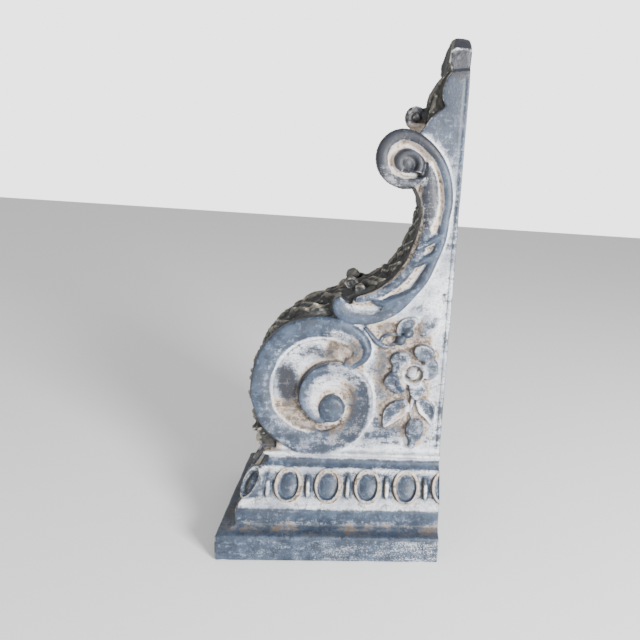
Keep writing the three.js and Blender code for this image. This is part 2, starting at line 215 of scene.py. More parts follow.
# %% Bands and cushions on the near side face
def band(name, stations, steps, profile, root=30, samples=15, reach=None):
    """A raised band on the side face. A station is x, z and width. The profile gives the height
    in mm for a place t across the band; the band's edges are t = -1 and 1, and reach may carry
    the section further."""
    rings = []
    for (x, z, width), share, nx, nz in walk(smooth_path(stations, steps)):
        half = width * 0.5
        near, far = reach(share) if reach else (-1, 1)
        ring = [(x + nx * near * half, -root, z + nz * near * half)]
        for t in np.linspace(near, far, samples):
            ring.append((x + nx * t * half, -(PANEL + profile(t, share)), z + nz * t * half))
        ring.append((x + nx * far * half, -root, z + nz * far * half))
        rings.append(ring)
    return run_section(name, rings)

def shape(pairs):
    """A section drawn by a few places across and heights, with straight runs between."""
    places, heights = zip(*spots(pairs))
    return lambda t: float(np.interp(t, places, heights))

def ease(low, high, value):
    """0 below low, 1 above high, a soft step between; works on arrays too."""
    s = np.clip((value - low) / (high - low), 0, 1)
    return s * s * (3 - 2 * s)

def cushion(name, outline, heights, root=38, count=28, lean=(0, 0)):
    """A leaf, petal or knob: its outline is extruded and drawn in step by step as it rises."""
    outline = spots(outline)
    closed = outline + outline[:3]
    loop = smooth_path(closed, (len(closed) - 1) * 8)
    loop = loop[8:8 + len(outline) * 8]
    loop = loop[np.linspace(0, len(loop), count, endpoint=False).astype(int)]
    middle = loop.mean(axis=0)
    rings = [[(x, -root, z) for x, z in loop]]
    for size, height in spots(heights):
        ring = []
        for x, z in loop:
            dx, dz = x - middle[0], z - middle[1]
            tilt = lean[0] * dx + lean[1] * dz
            ring.append((middle[0] + dx * size, -(PANEL + height + tilt), middle[1] + dz * size))
        rings.append(ring)
    return run_section(name, rings)

def ball(name, place, radii):
    """A round knob from a sphere, pressed to its three radii."""
    deselect()
    bpy.ops.mesh.primitive_uv_sphere_add(segments=20, ring_count=12, radius=1,
                                         location=[v * MM for v in place])
    piece = bpy.context.object
    piece.name = name
    bpy.ops.object.mode_set(mode='EDIT')
    bpy.ops.mesh.select_all(action='SELECT')
    bpy.ops.transform.resize(value=[r * MM for r in radii])
    bpy.ops.object.mode_set(mode='OBJECT')
    bpy.ops.object.transform_apply()
    parts.append(piece)
    return piece

# %% [markdown]
# ## Abacus
# The abacus is a stack of mouldings: plinth, ledge, fascia, fillet, the sloping egg band, a
# hollow neck and the ledge under the scroll. They are mitred round the front and both sides and
# cut off flush at the wall, so the block is a cube whose top is extruded step by step and drawn
# in towards the wall side.

# %% Abacus mouldings
ABACUS_STEPS = spots("""1.5 0, 0.3 1.2, 0 3, 0 25, 0.8 27.2, 2.4 28, 9 28.2, 12 28.6, 13.5 30,
    15.5 30.6, 16.5 31.8, 16.5 46.5, 17.2 48, 18.8 48.8, 19 52, 20 53.2, 21 54.6, 24.2 59, 28 64,
    31.5 70, 34.5 76, 37 82, 38.2 83, 38 84.6, 39.4 85.4, 43 87.5, 44.6 90.5, 44.6 94, 43 96.2,
    40.4 97.2, 39.8 98.8, 40.6 100.4""")
CORNER = 2.2

def abacus_ring(inset, height):
    """One mitred level of the abacus, with a few points on each eased corner."""
    ring = []
    for sign in (-1, 1):
        turns = (270, 240, 210, 180) if sign < 0 else (180, 150, 120, 90)
        cx, cy = FRONT_X + inset + CORNER, sign * (ABACUS_HALF - inset - CORNER)
        for turn in turns:
            angle = math.radians(turn)
            ring.append((cx + CORNER * math.cos(angle), cy + CORNER * math.sin(angle), height))
    ring.append((WALL_X, ABACUS_HALF - inset, height))
    ring.append((WALL_X, -ABACUS_HALF + inset, height))
    return ring

run_section("abacus", [abacus_ring(inset, height) for inset, height in ABACUS_STEPS])
print("abacus levels", len(ABACUS_STEPS))

# %% [markdown]
# ## Egg and dart
# Each egg is a smooth oval field inside a raised rim, and a slim dart stands between two rims.
# One egg is modelled flat, then leaned with the band, turned to its side and copied.

# %% Egg, rim and dart
EGG_Z, EGG_INSET, EGG_PITCH, FIRST_EGG = 69.2, 30.2, 40.6, -44.5
LEAN = math.radians(34)

EGG = """14.5 18.3 -9, 14.5 18.3 0.8, 14.1 17.9 3, 13.3 17.2 4.4, 12.2 16.2 4.9, 11.1 15.3 4.6,
    10.2 14.5 3.2, 9.7 14 1, 9.2 13.5 0.5, 8.4 12.6 1.3, 6.8 10.6 2.4, 4.6 7.8 3.1, 2.2 4.2 3.5,
    0.5 1 3.6"""
DART = "3.4 14 -9, 3.4 14 0.8, 2.7 12.5 2.2, 1.8 8 3.6, 0.9 5 4.6, 0.3 2 4.8"

def on_egg_band(name, levels, x, y, heading, corners=28, width=1):
    """Raise a form from an oval face, lean it with the band, turn it to its side and set it."""
    turns = [2 * math.pi * i / corners for i in range(corners)]
    piece = run_section(name, [[(w * width * math.cos(a), h * math.sin(a), lift) for a in turns]
                               for w, h, lift in spots(levels)])
    turn = Matrix.Rotation(heading, 4, 'Z') @ Matrix.Rotation(math.pi / 2 - LEAN, 4, 'X')
    piece.data.transform(Matrix.Translation(Vector((x, y, EGG_Z)) * MM) @ turn)

corner_x, corner_y = FRONT_X + EGG_INSET, ABACUS_HALF - EGG_INSET
side_eggs = [FIRST_EGG + EGG_PITCH * i for i in range(5)]
for x in side_eggs:
    on_egg_band("egg", EGG, x, -corner_y, 0)
for i in range(5):
    on_egg_band("dart", DART, FIRST_EGG - EGG_PITCH / 2 + EGG_PITCH * i, -corner_y, 0, 16)
on_egg_band("egg", EGG, corner_x + 1.5, -corner_y + 1.5, -math.pi / 4, width=0.82)
front_pitch = 2 * corner_y / 3
on_egg_band("egg", EGG, corner_x, -corner_y + front_pitch, -math.pi / 2)
for y in (-corner_y + 0.5 * front_pitch, 0):
    on_egg_band("dart", DART, corner_x, y, -math.pi / 2, 16)
print("eggs on a side", len(side_eggs))

# %% [markdown]
# ## Body
# Behind the scrolls the body is a plain slab with a flat panel on each side and a flat back.
# Its outline is drawn once on the side face and extruded across half the width; the other half
# comes from a mirror at the end, because both sides of the block are alike.

# %% Body slab
def slab(name, outline, near, far):
    """An outline in x and z, extruded across the width from near to far."""
    return run_section(name, [[(x, y, z) for x, z in spots(outline)] for y in (near, far)])

WALL_FRONT = spots("95.5 485, 91.5 480, 88 469, 87.8 460, 91.5 453.5, 86 449, 78.5 442, 72 431")
slab("wall_strip", [(WALL_X, 92), (WALL_X, 488)] + WALL_FRONT +
     spots("66 425, 66 380, 74 366, 76 350, 72 328, 64 306, 52 288, 40 278, 60 92"),
     -PANEL, 2)
slab("scroll_block", """62 92, 62 296, 50 276, 37 264, 22 254, -2 252, -14 240, -36 236, -56 226,
    -72 207, -80 184, -81 165, -76 144, -66 126, -60 116, -60 92""",
     -PANEL, 2)
slab("neck_under_leaf", "-40 92, -70 92, -75 99, -82 106, -80 120, -66 126, -40 110", -39, 2)
slab("volute_block", "66 424, 50 426, 36 417, 30.5 404, 34 388, 45 379, 58 376, 72 380",
     -PANEL, 2)

# %% [markdown]
# ## The big side scroll
# A mason sets out a volute with half turns that get smaller, and runs a cushion-shaped band along
# it. The band here starts in a hooked end at the upper right, passes over the top, round the
# front and the foot, and curls in to a small eye. Its stations carry the band's width.

# %% Scroll band
SCROLL = """7 199.8 6, 13.5 198.8 11, 20.5 202.5 16, 24 210.5 19.5, 21 220 21, 11.5 228.2 21.5,
    -4.2 233.4 21.5, -21 234.5 21.5, -38.3 230.3 21.5, -54.5 219.8 22, -67.2 203.5 21.5,
    -74.4 183.4 21, -76 165.3 21, -72 146.8 21.5, -63.6 131.8 22.5, -49 118.4 23.5,
    -32.8 111.6 24.5, -15.3 110 25, 2 114.2 24.5, 16.6 124.3 22.5, 26.2 140.8 21, 27.8 161.2 20.5,
    22.5 176.8 20, 11.5 186.2 18, -3.2 189.7 17.2, -16.6 186.4 17.2, -26.3 176.4 17.2,
    -30 164.9 16.5, -27.7 152 14.5, -20.3 141.8 12, -10.4 136 10"""

outer_turn = shape("""-1 4.8, -0.93 6.4, -0.75 7.5, -0.4 8, 0.05 8, 0.4 7.3, 0.62 6.3, 0.74 5.6,
    0.8 4.7, 0.88 5.2, 1 4.6, 1.15 3.7, 1.5 2.6, 2.2 1.5, 3.4 0.5""")
hook_end = shape("""-1 3.2, -0.86 6.6, -0.58 8.6, -0.3 8, -0.14 5.4, 0.04 6.9, 0.2 4.9, 0.36 6.2,
    0.52 4.2, 0.68 5.4, 0.84 3.4, 1 2.6, 3.4 0.3""")
inner_turn = shape("""-1 4, -0.94 7.8, -0.82 9.8, -0.66 10.2, -0.56 9.5, -0.1 8.6, 0.4 6.6, 1 3.9,
    1.5 2.4, 2.2 1.3, 3.4 0.5""")

def scroll_profile(t, share):
    """Grooved hook, then the round outer turn, then the inner coil that falls to its hollow."""
    hook = 1 - ease(0.1, 0.19, share)
    coil = ease(0.5, 0.66, share)
    return hook * hook_end(t) + coil * inner_turn(t) + (1 - hook - coil) * outer_turn(t)

def scroll_reach(share):
    """The channel beside the band is part of its section, except at the hook and the eye."""
    opened = ease(0.14, 0.24, share) * (1 - ease(0.46, 0.58, share))
    return -1, 1 + 2.3 * opened + 0.9 * ease(0.6, 0.7, share) * (1 - ease(0.9, 1, share))

band("scroll_band", SCROLL, 132, scroll_profile, samples=33, reach=scroll_reach)
EYE_X, EYE_Z = -3.9, 148.2

def oval(x, z, half_width, half_height, corners):
    """A round outline on the side face."""
    turns = np.linspace(0, 2 * math.pi, corners + 1)[:-1]
    return [(x + half_width * math.cos(a), z + half_height * math.sin(a)) for a in turns]

cushion("scroll_eye", oval(EYE_X, EYE_Z, 13.6, 15, 11), """1 3, 0.97 6.2, 0.88 8.6, 0.7 9.8,
    0.4 10.5, 0.15 10.8""")

# %% [markdown]
# ## S band and upper volute
# The upper band is an S: a volute at the top, a long outward sweep, and a foot that rests on the
# big scroll. Its section is not even: a round rim runs along the wall side, a channel lies
# inside it, and a broad soft middle falls to the front edge.

# %% S band
RIM = """77 387 4.5, 71.5 384.2 7.5, 64.5 382.4 10, 55.3 381.3 11.5, 44.7 384.7 12, 37.7 392.5 12,
    34.9 403.2 12.5, 37.4 413.4 12.5, 44.4 421.1 12.5, 54.5 424.8 12, 65 422.8 11.5, 76.5 416 11,
    86 407 10.5, 93 396 10.5, 97.8 382 10.5, 99.8 364.5 10.5, 98.2 349 10, 96 329 9.5,
    91.3 312 9.5, 82.5 290.5 9.5, 71 274 10, 59.3 261 11, 43.5 250.6 12, 29.7 246.6 13.5,
    15.5 247.6 15.5, 6 250.8 17, 1.2 256 17, 0.8 261.4 14, 3.6 265.6 9"""
rim_section = shape("-1 4.6, -0.88 6.9, -0.5 8.7, 0 9.3, 0.5 9, 0.82 7.8, 0.93 6.6, 1 4.6")

def rim_profile(t, share):
    """A round roll, with fine grooves where its foot rests on the big scroll."""
    return rim_section(t) + 0.35 * math.cos(2 * math.pi * 2.2 * t) * ease(0.86, 0.95, share)

band("sweep_rim", RIM, 128, rim_profile, samples=17)

FLOOR = """80 408 9, 87.9 392.3 22, 89.8 377.6 26, 91 362.2 27, 90.2 347.2 25, 87.8 330.2 25,
    82.6 312.6 25.5, 73.8 293.9 26, 62.7 278.9 26.5, 50.2 266.3 26.5, 36 258.4 25, 23 255.4 22,
    11.6 257.4 17"""
band("sweep_floor", FLOOR, 70, lambda t, s: 2.8 - 1.6 * max(0, -t - 0.75) / 0.25, samples=9)

MIDDLE = """79.2 402 5, 80.6 395.5 10, 81.9 386.5 15, 83.2 373 18.5, 84.8 359 18.5, 85.2 346 17,
    81.7 331 12, 76.2 315 10, 68.2 299.5 10, 58.2 286.5 10, 47 277 9.5, 36 270.2 9, 26 266 8,
    16 264 6"""
middle_section = shape("-1 4.4, -0.7 6.3, -0.3 7.2, 0.2 7, 0.6 5.6, 0.85 3.9, 1 2.6")
band("sweep_middle", MIDDLE, 80, lambda t, s: middle_section(t), samples=13)

VOLUTE_EYE = """69.5 391.5 8, 71.3 399 8.5, 68.5 405.2 9, 62.5 408.6 9.5, 55.8 407.8 10,
    51 402.8 10.5, 50.6 396.8 10, 54.5 392.4 8"""
band("volute_coil", VOLUTE_EYE, 36, lambda t, s: (RELIEF + 0.5) * (1 - 0.45 * abs(t) ** 3))
ball("volute_eye", (57.5, -PANEL - 2.5, 399.5), (8, 6.2, 8))

# %% [markdown]
# ## Leaf tongues on the S band
# Low down the S band turns into an acanthus leaf: ridges break away from the rim and reach
# across the band, with pale hollows between them. Each ridge is a short tapered band.

# %% Tongues
def tongue(name, stations, height):
    """A leaf ridge that starts at the rim and ends in a rounded tip."""
    def profile(t, share):
        swell = math.sin(math.pi * min(1, 0.25 + share * 0.75)) ** 0.5
        return height * (1 - 0.6 * t * t) * (0.62 + 0.38 * swell)
    band(name, stations, 16, profile)

tongue("tongue_high", "97.5 334 7, 91 330.5 9, 83.2 325.6 8.5, 75.5 320.5 6, 73 318.5 3", 10)
tongue("tongue_middle", "95.5 320 7, 88 313.2 9, 78.6 306.9 9, 70.5 302.4 7, 67.5 300.5 3.5", 10)
tongue("tongue_long", """84.8 290.1 5, 75.5 279.9 7, 64.1 272 9, 52.5 266.4 10, 43.8 262.6 10,
    35.5 263.6 7, 31.5 265.8 3""", 10.5)
tongue("tongue_lobe", "54 267 7, 46.5 259.6 8, 41.5 255.8 5, 39.5 254 3", 9)

# %% [markdown]
# ## Rose spray on the side panel
# A rose with five petals round a cupped heart, four leaves, two berries, a stem and a bell bud.
# Each petal is a soft cushion, pressed in a little at its middle; a small one joins the left two.

# %% Rose
PETAL = "1 0.8, 0.98 4.8, 0.91 6.7, 0.78 7.6, 0.62 7.4, 0.42 6.6, 0.22 6.2, 0.08 6.2"
FLAT_LEAF = "1 0.3, 0.96 2, 0.88 2.6, 0.74 2, 0.45 1.8, 0.15 2.2"
cushion("petal_upper_left", """57.9 211.8, 69.1 213.3, 74.6 207.1, 70.9 200.3, 61.6 195.8,
    56.6 198.8, 53.1 201.5, 53.6 207.3""", PETAL, lean=(0.13, -0.06))
cushion("petal_lower_left", """54.1 190.5, 62.8 192.7, 69.3 184.8, 71.6 174.2, 68.8 168,
    61.4 166.7, 53.3 171.6, 47.8 178.6, 50.2 186""", PETAL, lean=(0.13, 0.03))
cushion("petal_left", "58.5 201, 66 201.5, 69.5 195, 68 187, 60.5 186.5, 56 190, 55.2 196", PETAL,
        lean=(0.13, 0))
cushion("petal_top", """79.3 220.2, 87.9 221.6, 96.9 217, 98.8 211.5, 93.7 206, 87.1 204,
    80.1 205.8, 76.3 213.8""", PETAL, lean=(-0.02, 0.05))
cushion("petal_right", """89.4 204.6, 96.4 206.6, 101.6 202.6, 103.2 190.5, 97 183.5, 90 185.3,
    87.4 194.8""", PETAL, lean=(-0.05, 0))
cushion("petal_foot", """74.3 180.8, 81.6 181.3, 88.9 180.4, 93 173.6, 87.7 166.8, 82.1 162,
    77 165.8, 74.3 172.3""", PETAL, lean=(0, -0.06))
HEART_X, HEART_Z = 77.8, 190
cushion("heart_cup", oval(HEART_X, HEART_Z, 12.6, 12.6, 9), """1 2, 0.98 7.2, 0.91 8.9, 0.82 8.7,
    0.74 5.4, 0.64 3.2, 0.52 3.4, 0.46 7, 0.36 9, 0.22 9.8, 0.08 9.9""")

# %% Leaves, berries, stems and bud
cushion("leaf_curled", """57.7 232.9, 58.8 240.3, 63 246.3, 69.9 249.2, 78 249, 79.4 243,
    74.6 237.6, 67.6 237.1, 63.7 233.8, 60.8 230.5""",
        "1 0.5, 0.96 4.6, 0.82 5.6, 0.6 3.6, 0.35 3.2, 0.12 4.4")
cushion("leaf_veined", """81.9 236.7, 81.9 243.6, 85.1 249.2, 91.4 252.2, 100.6 252.3, 101.7 245.5,
    97.1 238, 91.5 231.2, 84.3 230.5""", FLAT_LEAF)
cushion("leaf_low_left", """72.5 160.3, 65.1 160.5, 57 157.2, 50.2 149.2, 48.3 139, 50.1 129.5,
    57.3 132.6, 67.4 139.8, 75.2 148.5""",
        "1 0.5, 0.96 5, 0.86 6.2, 0.7 4, 0.5 2.6, 0.3 2.8, 0.1 3.4")
cushion("leaf_low_right", """82.4 160.9, 88.1 162.5, 96.1 160.8, 102.6 153.4, 103.5 143.3,
    100.2 133.2, 93.7 140.7, 86.4 147.2""",
        "1 0.5, 0.96 4.4, 0.86 5.2, 0.7 3.8, 0.4 3.4, 0.12 4.2")
cushion("bud", """77 138.9, 83.2 141.2, 90.6 137.7, 92.8 129.2, 91.8 120.6, 87 114.8, 83.7 107.8,
    79 107.6, 76.4 115, 73.3 121.7, 73.2 132""", "1 0.5, 0.95 4.6, 0.8 6.6, 0.55 7.6, 0.25 8")
ball("bud_tip", (81, -PANEL - 3.5, 110.5), (4.6, 4.6, 4.8))
BERRY_LOW, BERRY_HIGH = (62.7, 224.8), (70.3, 232.6)
ball("berry_low", (BERRY_LOW[0], -PANEL - 2.5, BERRY_LOW[1]), (5.4, 6, 5.4))
ball("berry_high", (BERRY_HIGH[0], -PANEL - 2.5, BERRY_HIGH[1]), (5.2, 5.8, 5.2))

def stalk(name, stations, steps, height):
    """A thin round stem."""
    band(name, stations, steps, lambda t, s: height * (1 - 0.7 * t * t))

stalk("tendril", """26 236.5 5, 34.2 226.5 5, 40.2 220.5 5.5, 47.9 217.5 5, 54.4 219.2 4.5,
    59.3 222 4""", 20, 4.6)
stalk("tendril_fork", "41.6 220.6 4, 44.8 226.6 4, 50.7 230 4, 58.8 231.4 3.5", 14, 4)
stalk("stem", "78.2 167.7 4.5, 78.4 155.8 4.5, 77.6 147.9 4, 79.5 137.9 4", 14, 4.4)
print("pieces on one side so far", len(parts))

# %% [markdown]
# ## Acanthus on the front
# Between the two side faces the front is covered by acanthus leaves: one wraps the big scroll,
# one lines the hollow and one backs the wall strip. A leaf is a section that runs up the front:
# a midrib, hollows on both sides of it, raised ribs, and an edge that breaks into lobes with
# drilled eyes between them. Only half the width is made, the mirror gives the rest.

# %% Leaf over a path
def leaf(name, crest, steps, width, relief, depth, lobes, lean=0.5, veins=3, reach=0.12, bulge=0):
    """Half a leaf from the middle plane to the near edge. The crest is its highest line, x and z
    up the front; lobes run out from the midrib, with a deep crease and a drilled eye between."""
    rings = []
    for (x, z), share, ox, oz in walk(smooth_path(crest, steps)):
        edge_wave = math.sin(math.pi * ((share * lobes - lean) % 1)) ** 0.55
        edge = width * (1 - reach + reach * edge_wave)
        ring = [(x - ox * depth, 2, z - oz * depth)]
        for t in np.linspace(0, 1, 31):
            place = (share * lobes - lean * t) % 1
            swell = math.sin(math.pi * place) ** 0.6
            swell = swell * ease(0, 0.3, t) + 0.82 * (1 - ease(0, 0.3, t))
            vein = 0.5 + 0.5 * math.cos(2 * math.pi * veins * place)
            midrib = math.exp(-(t / 0.09) ** 2)
            beside = math.exp(-((t - 0.22) / 0.07) ** 2)
            crown = 0.58 + 0.42 * math.cos(0.5 * math.pi * t)
            eye = math.exp(-((t - 0.66) / 0.1) ** 2)
            eye = eye * math.exp(-(min(place, 1 - place) / 0.15) ** 2)
            rise = crown * (0.22 + 0.55 * swell + 0.22 * vein * ease(0.05, 0.4, t))
            rise = rise + 0.2 * midrib - 0.22 * beside - 0.9 * eye
            rise *= min(1, (1 - t) / 0.12 + 0.25)
            low = relief * (1 - min(rise, 1.05))
            low = low - bulge * (edge_wave - 0.5) * math.cos(0.5 * math.pi * t)
            ring.append((x - ox * low, -t * edge, z - oz * low))
        ring.append((x - ox * depth, -edge, z - oz * depth))
        rings.append(ring)
    return run_section(name, rings)

leaf("leaf_on_scroll", """-76 101, -85 107, -92 117, -91 128, -93 141, -96 156, -94.5 173, -90 190,
    -82 208, -71 228, -57 242, -37 256, -14 266, 12 276, 28 284""",
     220, 39.5, 15, 26, 9, lean=0.8, bulge=2.6)
leaf("leaf_in_hollow", "8 272, 24 282, 38 290, 50 301, 59 317, 67 334, 71 351, 74 366, 75 382",
     120, 40, 13, 24, 6, lean=0.9, bulge=4.2)
leaf("leaf_on_wall", "73 440, 76 458.6, 77.3 467.2, 82.2 476.1, 89.2 486, 97 496",
     60, 31, 7, 16, 1.2, lean=1.6, veins=7)

# %% Front curl and leaf knobs
def roll(name, x, z, radius, half_width, turns=28):
    """A small rolled leaf end across the front, eased at its near edge."""
    end = spots("3 1, 0.8 0.94, 0 0.78, 0.8 0.62, 1.6 0.5, -0.4 0.34, -1 0.1")
    rings = []
    for y, size in [(2, 1)] + [(inset - half_width, size) for inset, size in end]:
        angles = [2 * math.pi * k / turns for k in range(turns)]
        rings.append([(x + radius * size * math.cos(a), y, z + radius * size * math.sin(a))
                      for a in angles])
    return run_section(name, rings)

roll("front_curl", 66.7, 444.3, 10.6, 15)
slab("curl_neck", "64 426, 62 436, 70 452, 80 456, 86 440, 84 424", -13, 2)
roll("volute_barrel", 57.5, 401, 26, PANEL - 6, 40)

def curl(name, place, size, turns=1.35):
    """A leaf tip that rolls up: a tapering band wound round an eye, standing off the leaf."""
    x0, y0, z0 = place
    rings = []
    for i in range(41):
        share = i / 40
        angle = math.radians(-60) + 2 * math.pi * turns * share
        radius = size * (1 - 0.72 * share)
        thick = size * (0.3 - 0.12 * share)
        cx, cz = x0 + radius * math.cos(angle), z0 + radius * math.sin(angle)
        across, up = thick * math.cos(angle), thick * math.sin(angle)
        angles = np.linspace(0, 2 * math.pi, 14, endpoint=False)
        rings.append([(cx + across * math.cos(a), y0 + size * 0.75 * math.sin(a),
                       cz + up * math.cos(a)) for a in angles])
    return run_section(name, rings)

curl("leaf_knob", (9, -26, 277), 7.2)
curl("leaf_knob_small", (18.5, -33, 272.8), 5.6)
ball("leaf_knob_heart", (9, -24, 277), (6, 5, 6.4))
ball("leaf_knob_small_heart", (18.5, -31.5, 272.8), (4.6, 4.2, 4.8))

# %% [markdown]
# ## Pendant end
# The end opposite the abacus is a plain rounded loaf. Its section is drawn from the side and run
# across the width, crowned towards the middle.

# %% Pendant
def pendant_section(y, crown):
    """The loaf's outline at one place across; the crown lifts its end and bows its front."""
    foot, head = 482.5, 505.8 + crown
    front = 92 + 3 * max(crown / 13.8, 0) ** 1.2
    outline = [(WALL_X, foot - 6), (WALL_X, head - 2), (WALL_X - 0.8, head - 0.6),
               (WALL_X - 3, head), (105, head + 0.3), (front + 4.2, head - 0.3),
               (front + 1.6, head - 2), (front + 0.4, head - 5.5), (front, head - 13),
               (front + 0.6, foot + 9), (front + 2.4, foot + 4), (front + 6.5, foot + 1.2),
               (104, foot + 0.6), (109, foot + 1.6)]
    return [(x, y, z) for x, z in outline]

crowns = spots("""2 1, -10 0.98, -18 0.92, -25 0.8, -31 0.6, -35.5 0.36, -38.4 0.14, -40.4 0.03,
    -41.2 -0.05""")
run_section("pendant", [pendant_section(y, 13.7 * share) for y, share in crowns])
print("all carved forms", len(parts))

# %% [markdown]
# ## One block
# The forms are joined, mirrored for the far side and fused by a voxel remesh, which turns many
# overlapping closed forms into one skin, as one block of stone has. A little smoothing rounds
# the steps of the remesh, as worn paint does on the real carving.

# %% Join, mirror and fuse
deselect()
for piece in parts:
    piece.select_set(True)
bpy.context.view_layer.objects.active = parts[0]
bpy.ops.object.join()
block = bpy.context.object
block.name = "corbel_carved"
block.data.attributes.remove(block.data.attributes["order"])

def apply(modifier):
    """Apply one modifier by name."""
    bpy.ops.object.modifier_apply(modifier=modifier.name)

bpy.ops.object.duplicate()
twin = bpy.context.object
bpy.ops.transform.resize(value=(1, -1, 1), center_override=(0, 0, 0))
bpy.ops.object.transform_apply()
bpy.ops.object.mode_set(mode='EDIT')
bpy.ops.mesh.select_all(action='SELECT')
bpy.ops.mesh.normals_make_consistent(inside=False)
bpy.ops.object.mode_set(mode='OBJECT')
block.select_set(True)
twin.select_set(True)
bpy.context.view_layer.objects.active = block
bpy.ops.object.join()
block = bpy.context.object

VOXEL = 1.25
fuse = block.modifiers.new("fuse", 'REMESH')
fuse.mode = 'VOXEL'
fuse.voxel_size = VOXEL * MM
apply(fuse)
soften = block.modifiers.new("soften", 'SMOOTH')
soften.factor = 0.5
soften.iterations = 1
apply(soften)
mesh = block.data
count = len(mesh.vertices)
print("fused faces", len(mesh.polygons))

# %% [markdown]
# ## Hand wear
# The skin is then worked as with a rasp: the wall edge gets its shallow seam, and the surface a
# slight unevenness from the chisel and many coats. Points are moved in one go with arrays,
# because a hand would need thousands of strokes.

# %% Read the skin
def read(kind):
    """Places or directions of all points, one row each."""
    values = np.empty(count * 3)
    mesh.vertices.foreach_get(kind, values)
    return values.reshape(-1, 3)

points = read("co") / MM
normals = read("normal")
edges = np.empty(len(mesh.edges) * 2, dtype=np.int64)
mesh.edges.foreach_get("vertices", edges)
edges = edges.reshape(-1, 2)
degree = np.bincount(edges.ravel(), minlength=count)

def averaged(values, rounds):
    """Average each point with its neighbours, a number of times."""
    values = values.copy()
    for _ in range(rounds):
        total = np.empty_like(values)
        for axis in range(values.shape[1]):
            total[:, axis] = (np.bincount(edges[:, 0], values[edges[:, 1], axis], count)
                              + np.bincount(edges[:, 1], values[edges[:, 0], axis], count))
        values = 0.5 * values + 0.5 * total / degree[:, None]
    return values

def near_line(line, steps=40):
    """Distance in the side face from each point to a drawn line."""
    drawn = smooth_path(line, steps)[:, :2]
    best = np.full(count, 1e9)
    for a, b in zip(drawn[:-1], drawn[1:]):
        ab = b - a
        rel = points[:, [0, 2]] - a
        t = np.clip(rel @ ab / max(ab @ ab, 1e-9), 0, 1)
        gap = rel - t[:, None] * ab
        best = np.minimum(best, np.hypot(gap[:, 0], gap[:, 1]))
    return best

def bell(gap, width):
    """1 at no gap, falling like a bell with it."""
    return np.exp(-(gap / width) ** 2)

def scratch(line, width, steps):
    """A soft line drawn on the side face."""
    return bell(near_line(line, steps), width)

# %% Seam, dents and unevenness
beside = np.abs(points[:, 1])
on_side = ease(40.5, 42.5, beside) * ease(98, 100.5, points[:, 2])
push = np.zeros(count)
SEAM = "108.6 478, 108.4 380, 107.9 300, 108.4 200, 108.2 104"
CRACK = "101.2 213.1, 106 213.9, 112.6 213.7"
HEART_FOLD = "82.5 194.5, 80.8 188.8, 77 186.2, 72.6 186.6"
PIT = np.array([104.3, 273.4])
push -= 1.1 * scratch(SEAM, 0.9, 30) * on_side * (beside < 46)

def waves(text):
    """A few waves added up; each is its direction and its start."""
    return sum(np.sin(points @ np.array([a, b, c]) + start) for a, b, c, start in spots(text))

rough = waves("0.11 0.05 0.09 0.3, -0.07 0.12 0.15 1.9, 0.21 -0.09 0.05 4.1, 0.04 0.23 -0.19 2.2")
push += 0.12 * rough * ease(1, 4, points[:, 2])
chatter = waves("0.9 0.5 0.7 0.4, -0.6 1.1 0.8 2.6, 0.8 -0.9 -0.5 1.2, 0.2 0.7 -1.3 5")
chatter = 0.16 * chatter * (1 - ease(40.5, 42.5, beside)) * ease(101, 105, points[:, 2])
push += chatter * (1 - ease(100, 106, points[:, 0]))
push -= 1.5 * scratch(HEART_FOLD, 1.1, 14) * on_side
near_side = points[:, 1] < 0
push -= 0.6 * scratch(CRACK, 0.8, 12) * on_side * near_side
pit = np.hypot(points[:, 0] - PIT[0], points[:, 2] - PIT[1])
push -= 1.4 * bell(pit, 2) * on_side * near_side
dents = spots("""-70 22 2, -12 5 2.4, 38 2 2.6, 84 24 2.2, 109 9 2.6, 61 27 1.8, -104 2 3,
    -40 26.5 2, 12 27 1.6, 96 1.5 2.4""")
for x, z, size in dents:
    gap = np.hypot(points[:, 0] - x, points[:, 2] - z)
    push -= 0.9 * bell(gap, size) * (beside > 80)
moved = np.clip(points + normals * push[:, None], [FRONT_X, -ABACUS_HALF, 0],
                [WALL_X, ABACUS_HALF, cad_high[2] / MM])
mesh.vertices.foreach_set("co", (moved * MM).ravel())
mesh.update()
points = read("co") / MM
normals = read("normal")

# %% [markdown]
# ## Wash map
# The paint was rubbed back and a chalky wash left in the hollows. To place it, each point is
# compared with the average of its neighbours: a point below them sits in a hollow, a point above
# them on an edge. Two sizes of neighbourhood give fine lines and broad hollows. Along the
# scroll, the wash follows the band, so each point also finds its place along and across it.

# %% Hollows and edges
fine = averaged(points, 4)
broad = averaged(fine, 45)
fine_hollow = np.einsum('ij,ij->i', fine - points, normals) * (1.25 / VOXEL)
broad_hollow = np.einsum('ij,ij->i', broad - points, normals) * (1.25 / VOXEL)
for hollow in (fine_hollow, broad_hollow):
    print("hollows in mm", np.round(np.percentile(hollow, [2, 50, 98]), 2).tolist())
X, Z = points[:, 0], points[:, 2]
NX, NZ = normals[:, 0], normals[:, 2]
beside = np.abs(points[:, 1])

def along_band(stations, steps=150):
    """For every point: place along a band (0 to 1), place across it, and 1 where it lies on it."""
    path = smooth_path(stations, steps)
    ahead = np.gradient(path[:, :2], axis=0)
    ahead /= np.linalg.norm(ahead, axis=1)[:, None]
    share, across, best = np.zeros(count), np.zeros(count), np.full(count, 1e9)
    for i, (x, z, width) in enumerate(path):
        dx, dz = X - x, Z - z
        gap = np.hypot(dx, dz) / (0.5 * width)
        closer = gap < best
        best[closer] = gap[closer]
        share[closer] = i / steps
        across[closer] = ((-ahead[i, 1] * dx + ahead[i, 0] * dz) / (0.5 * width))[closer]
    return share, across, best

def hump(low, high, soft, value):
    """1 between low and high, falling softly outside."""
    return ease(low - soft, low, value) * (1 - ease(high, high + soft, value))

def away(x, z):
    """Distance in the side face from a place."""
    return np.hypot(X - x, Z - z)

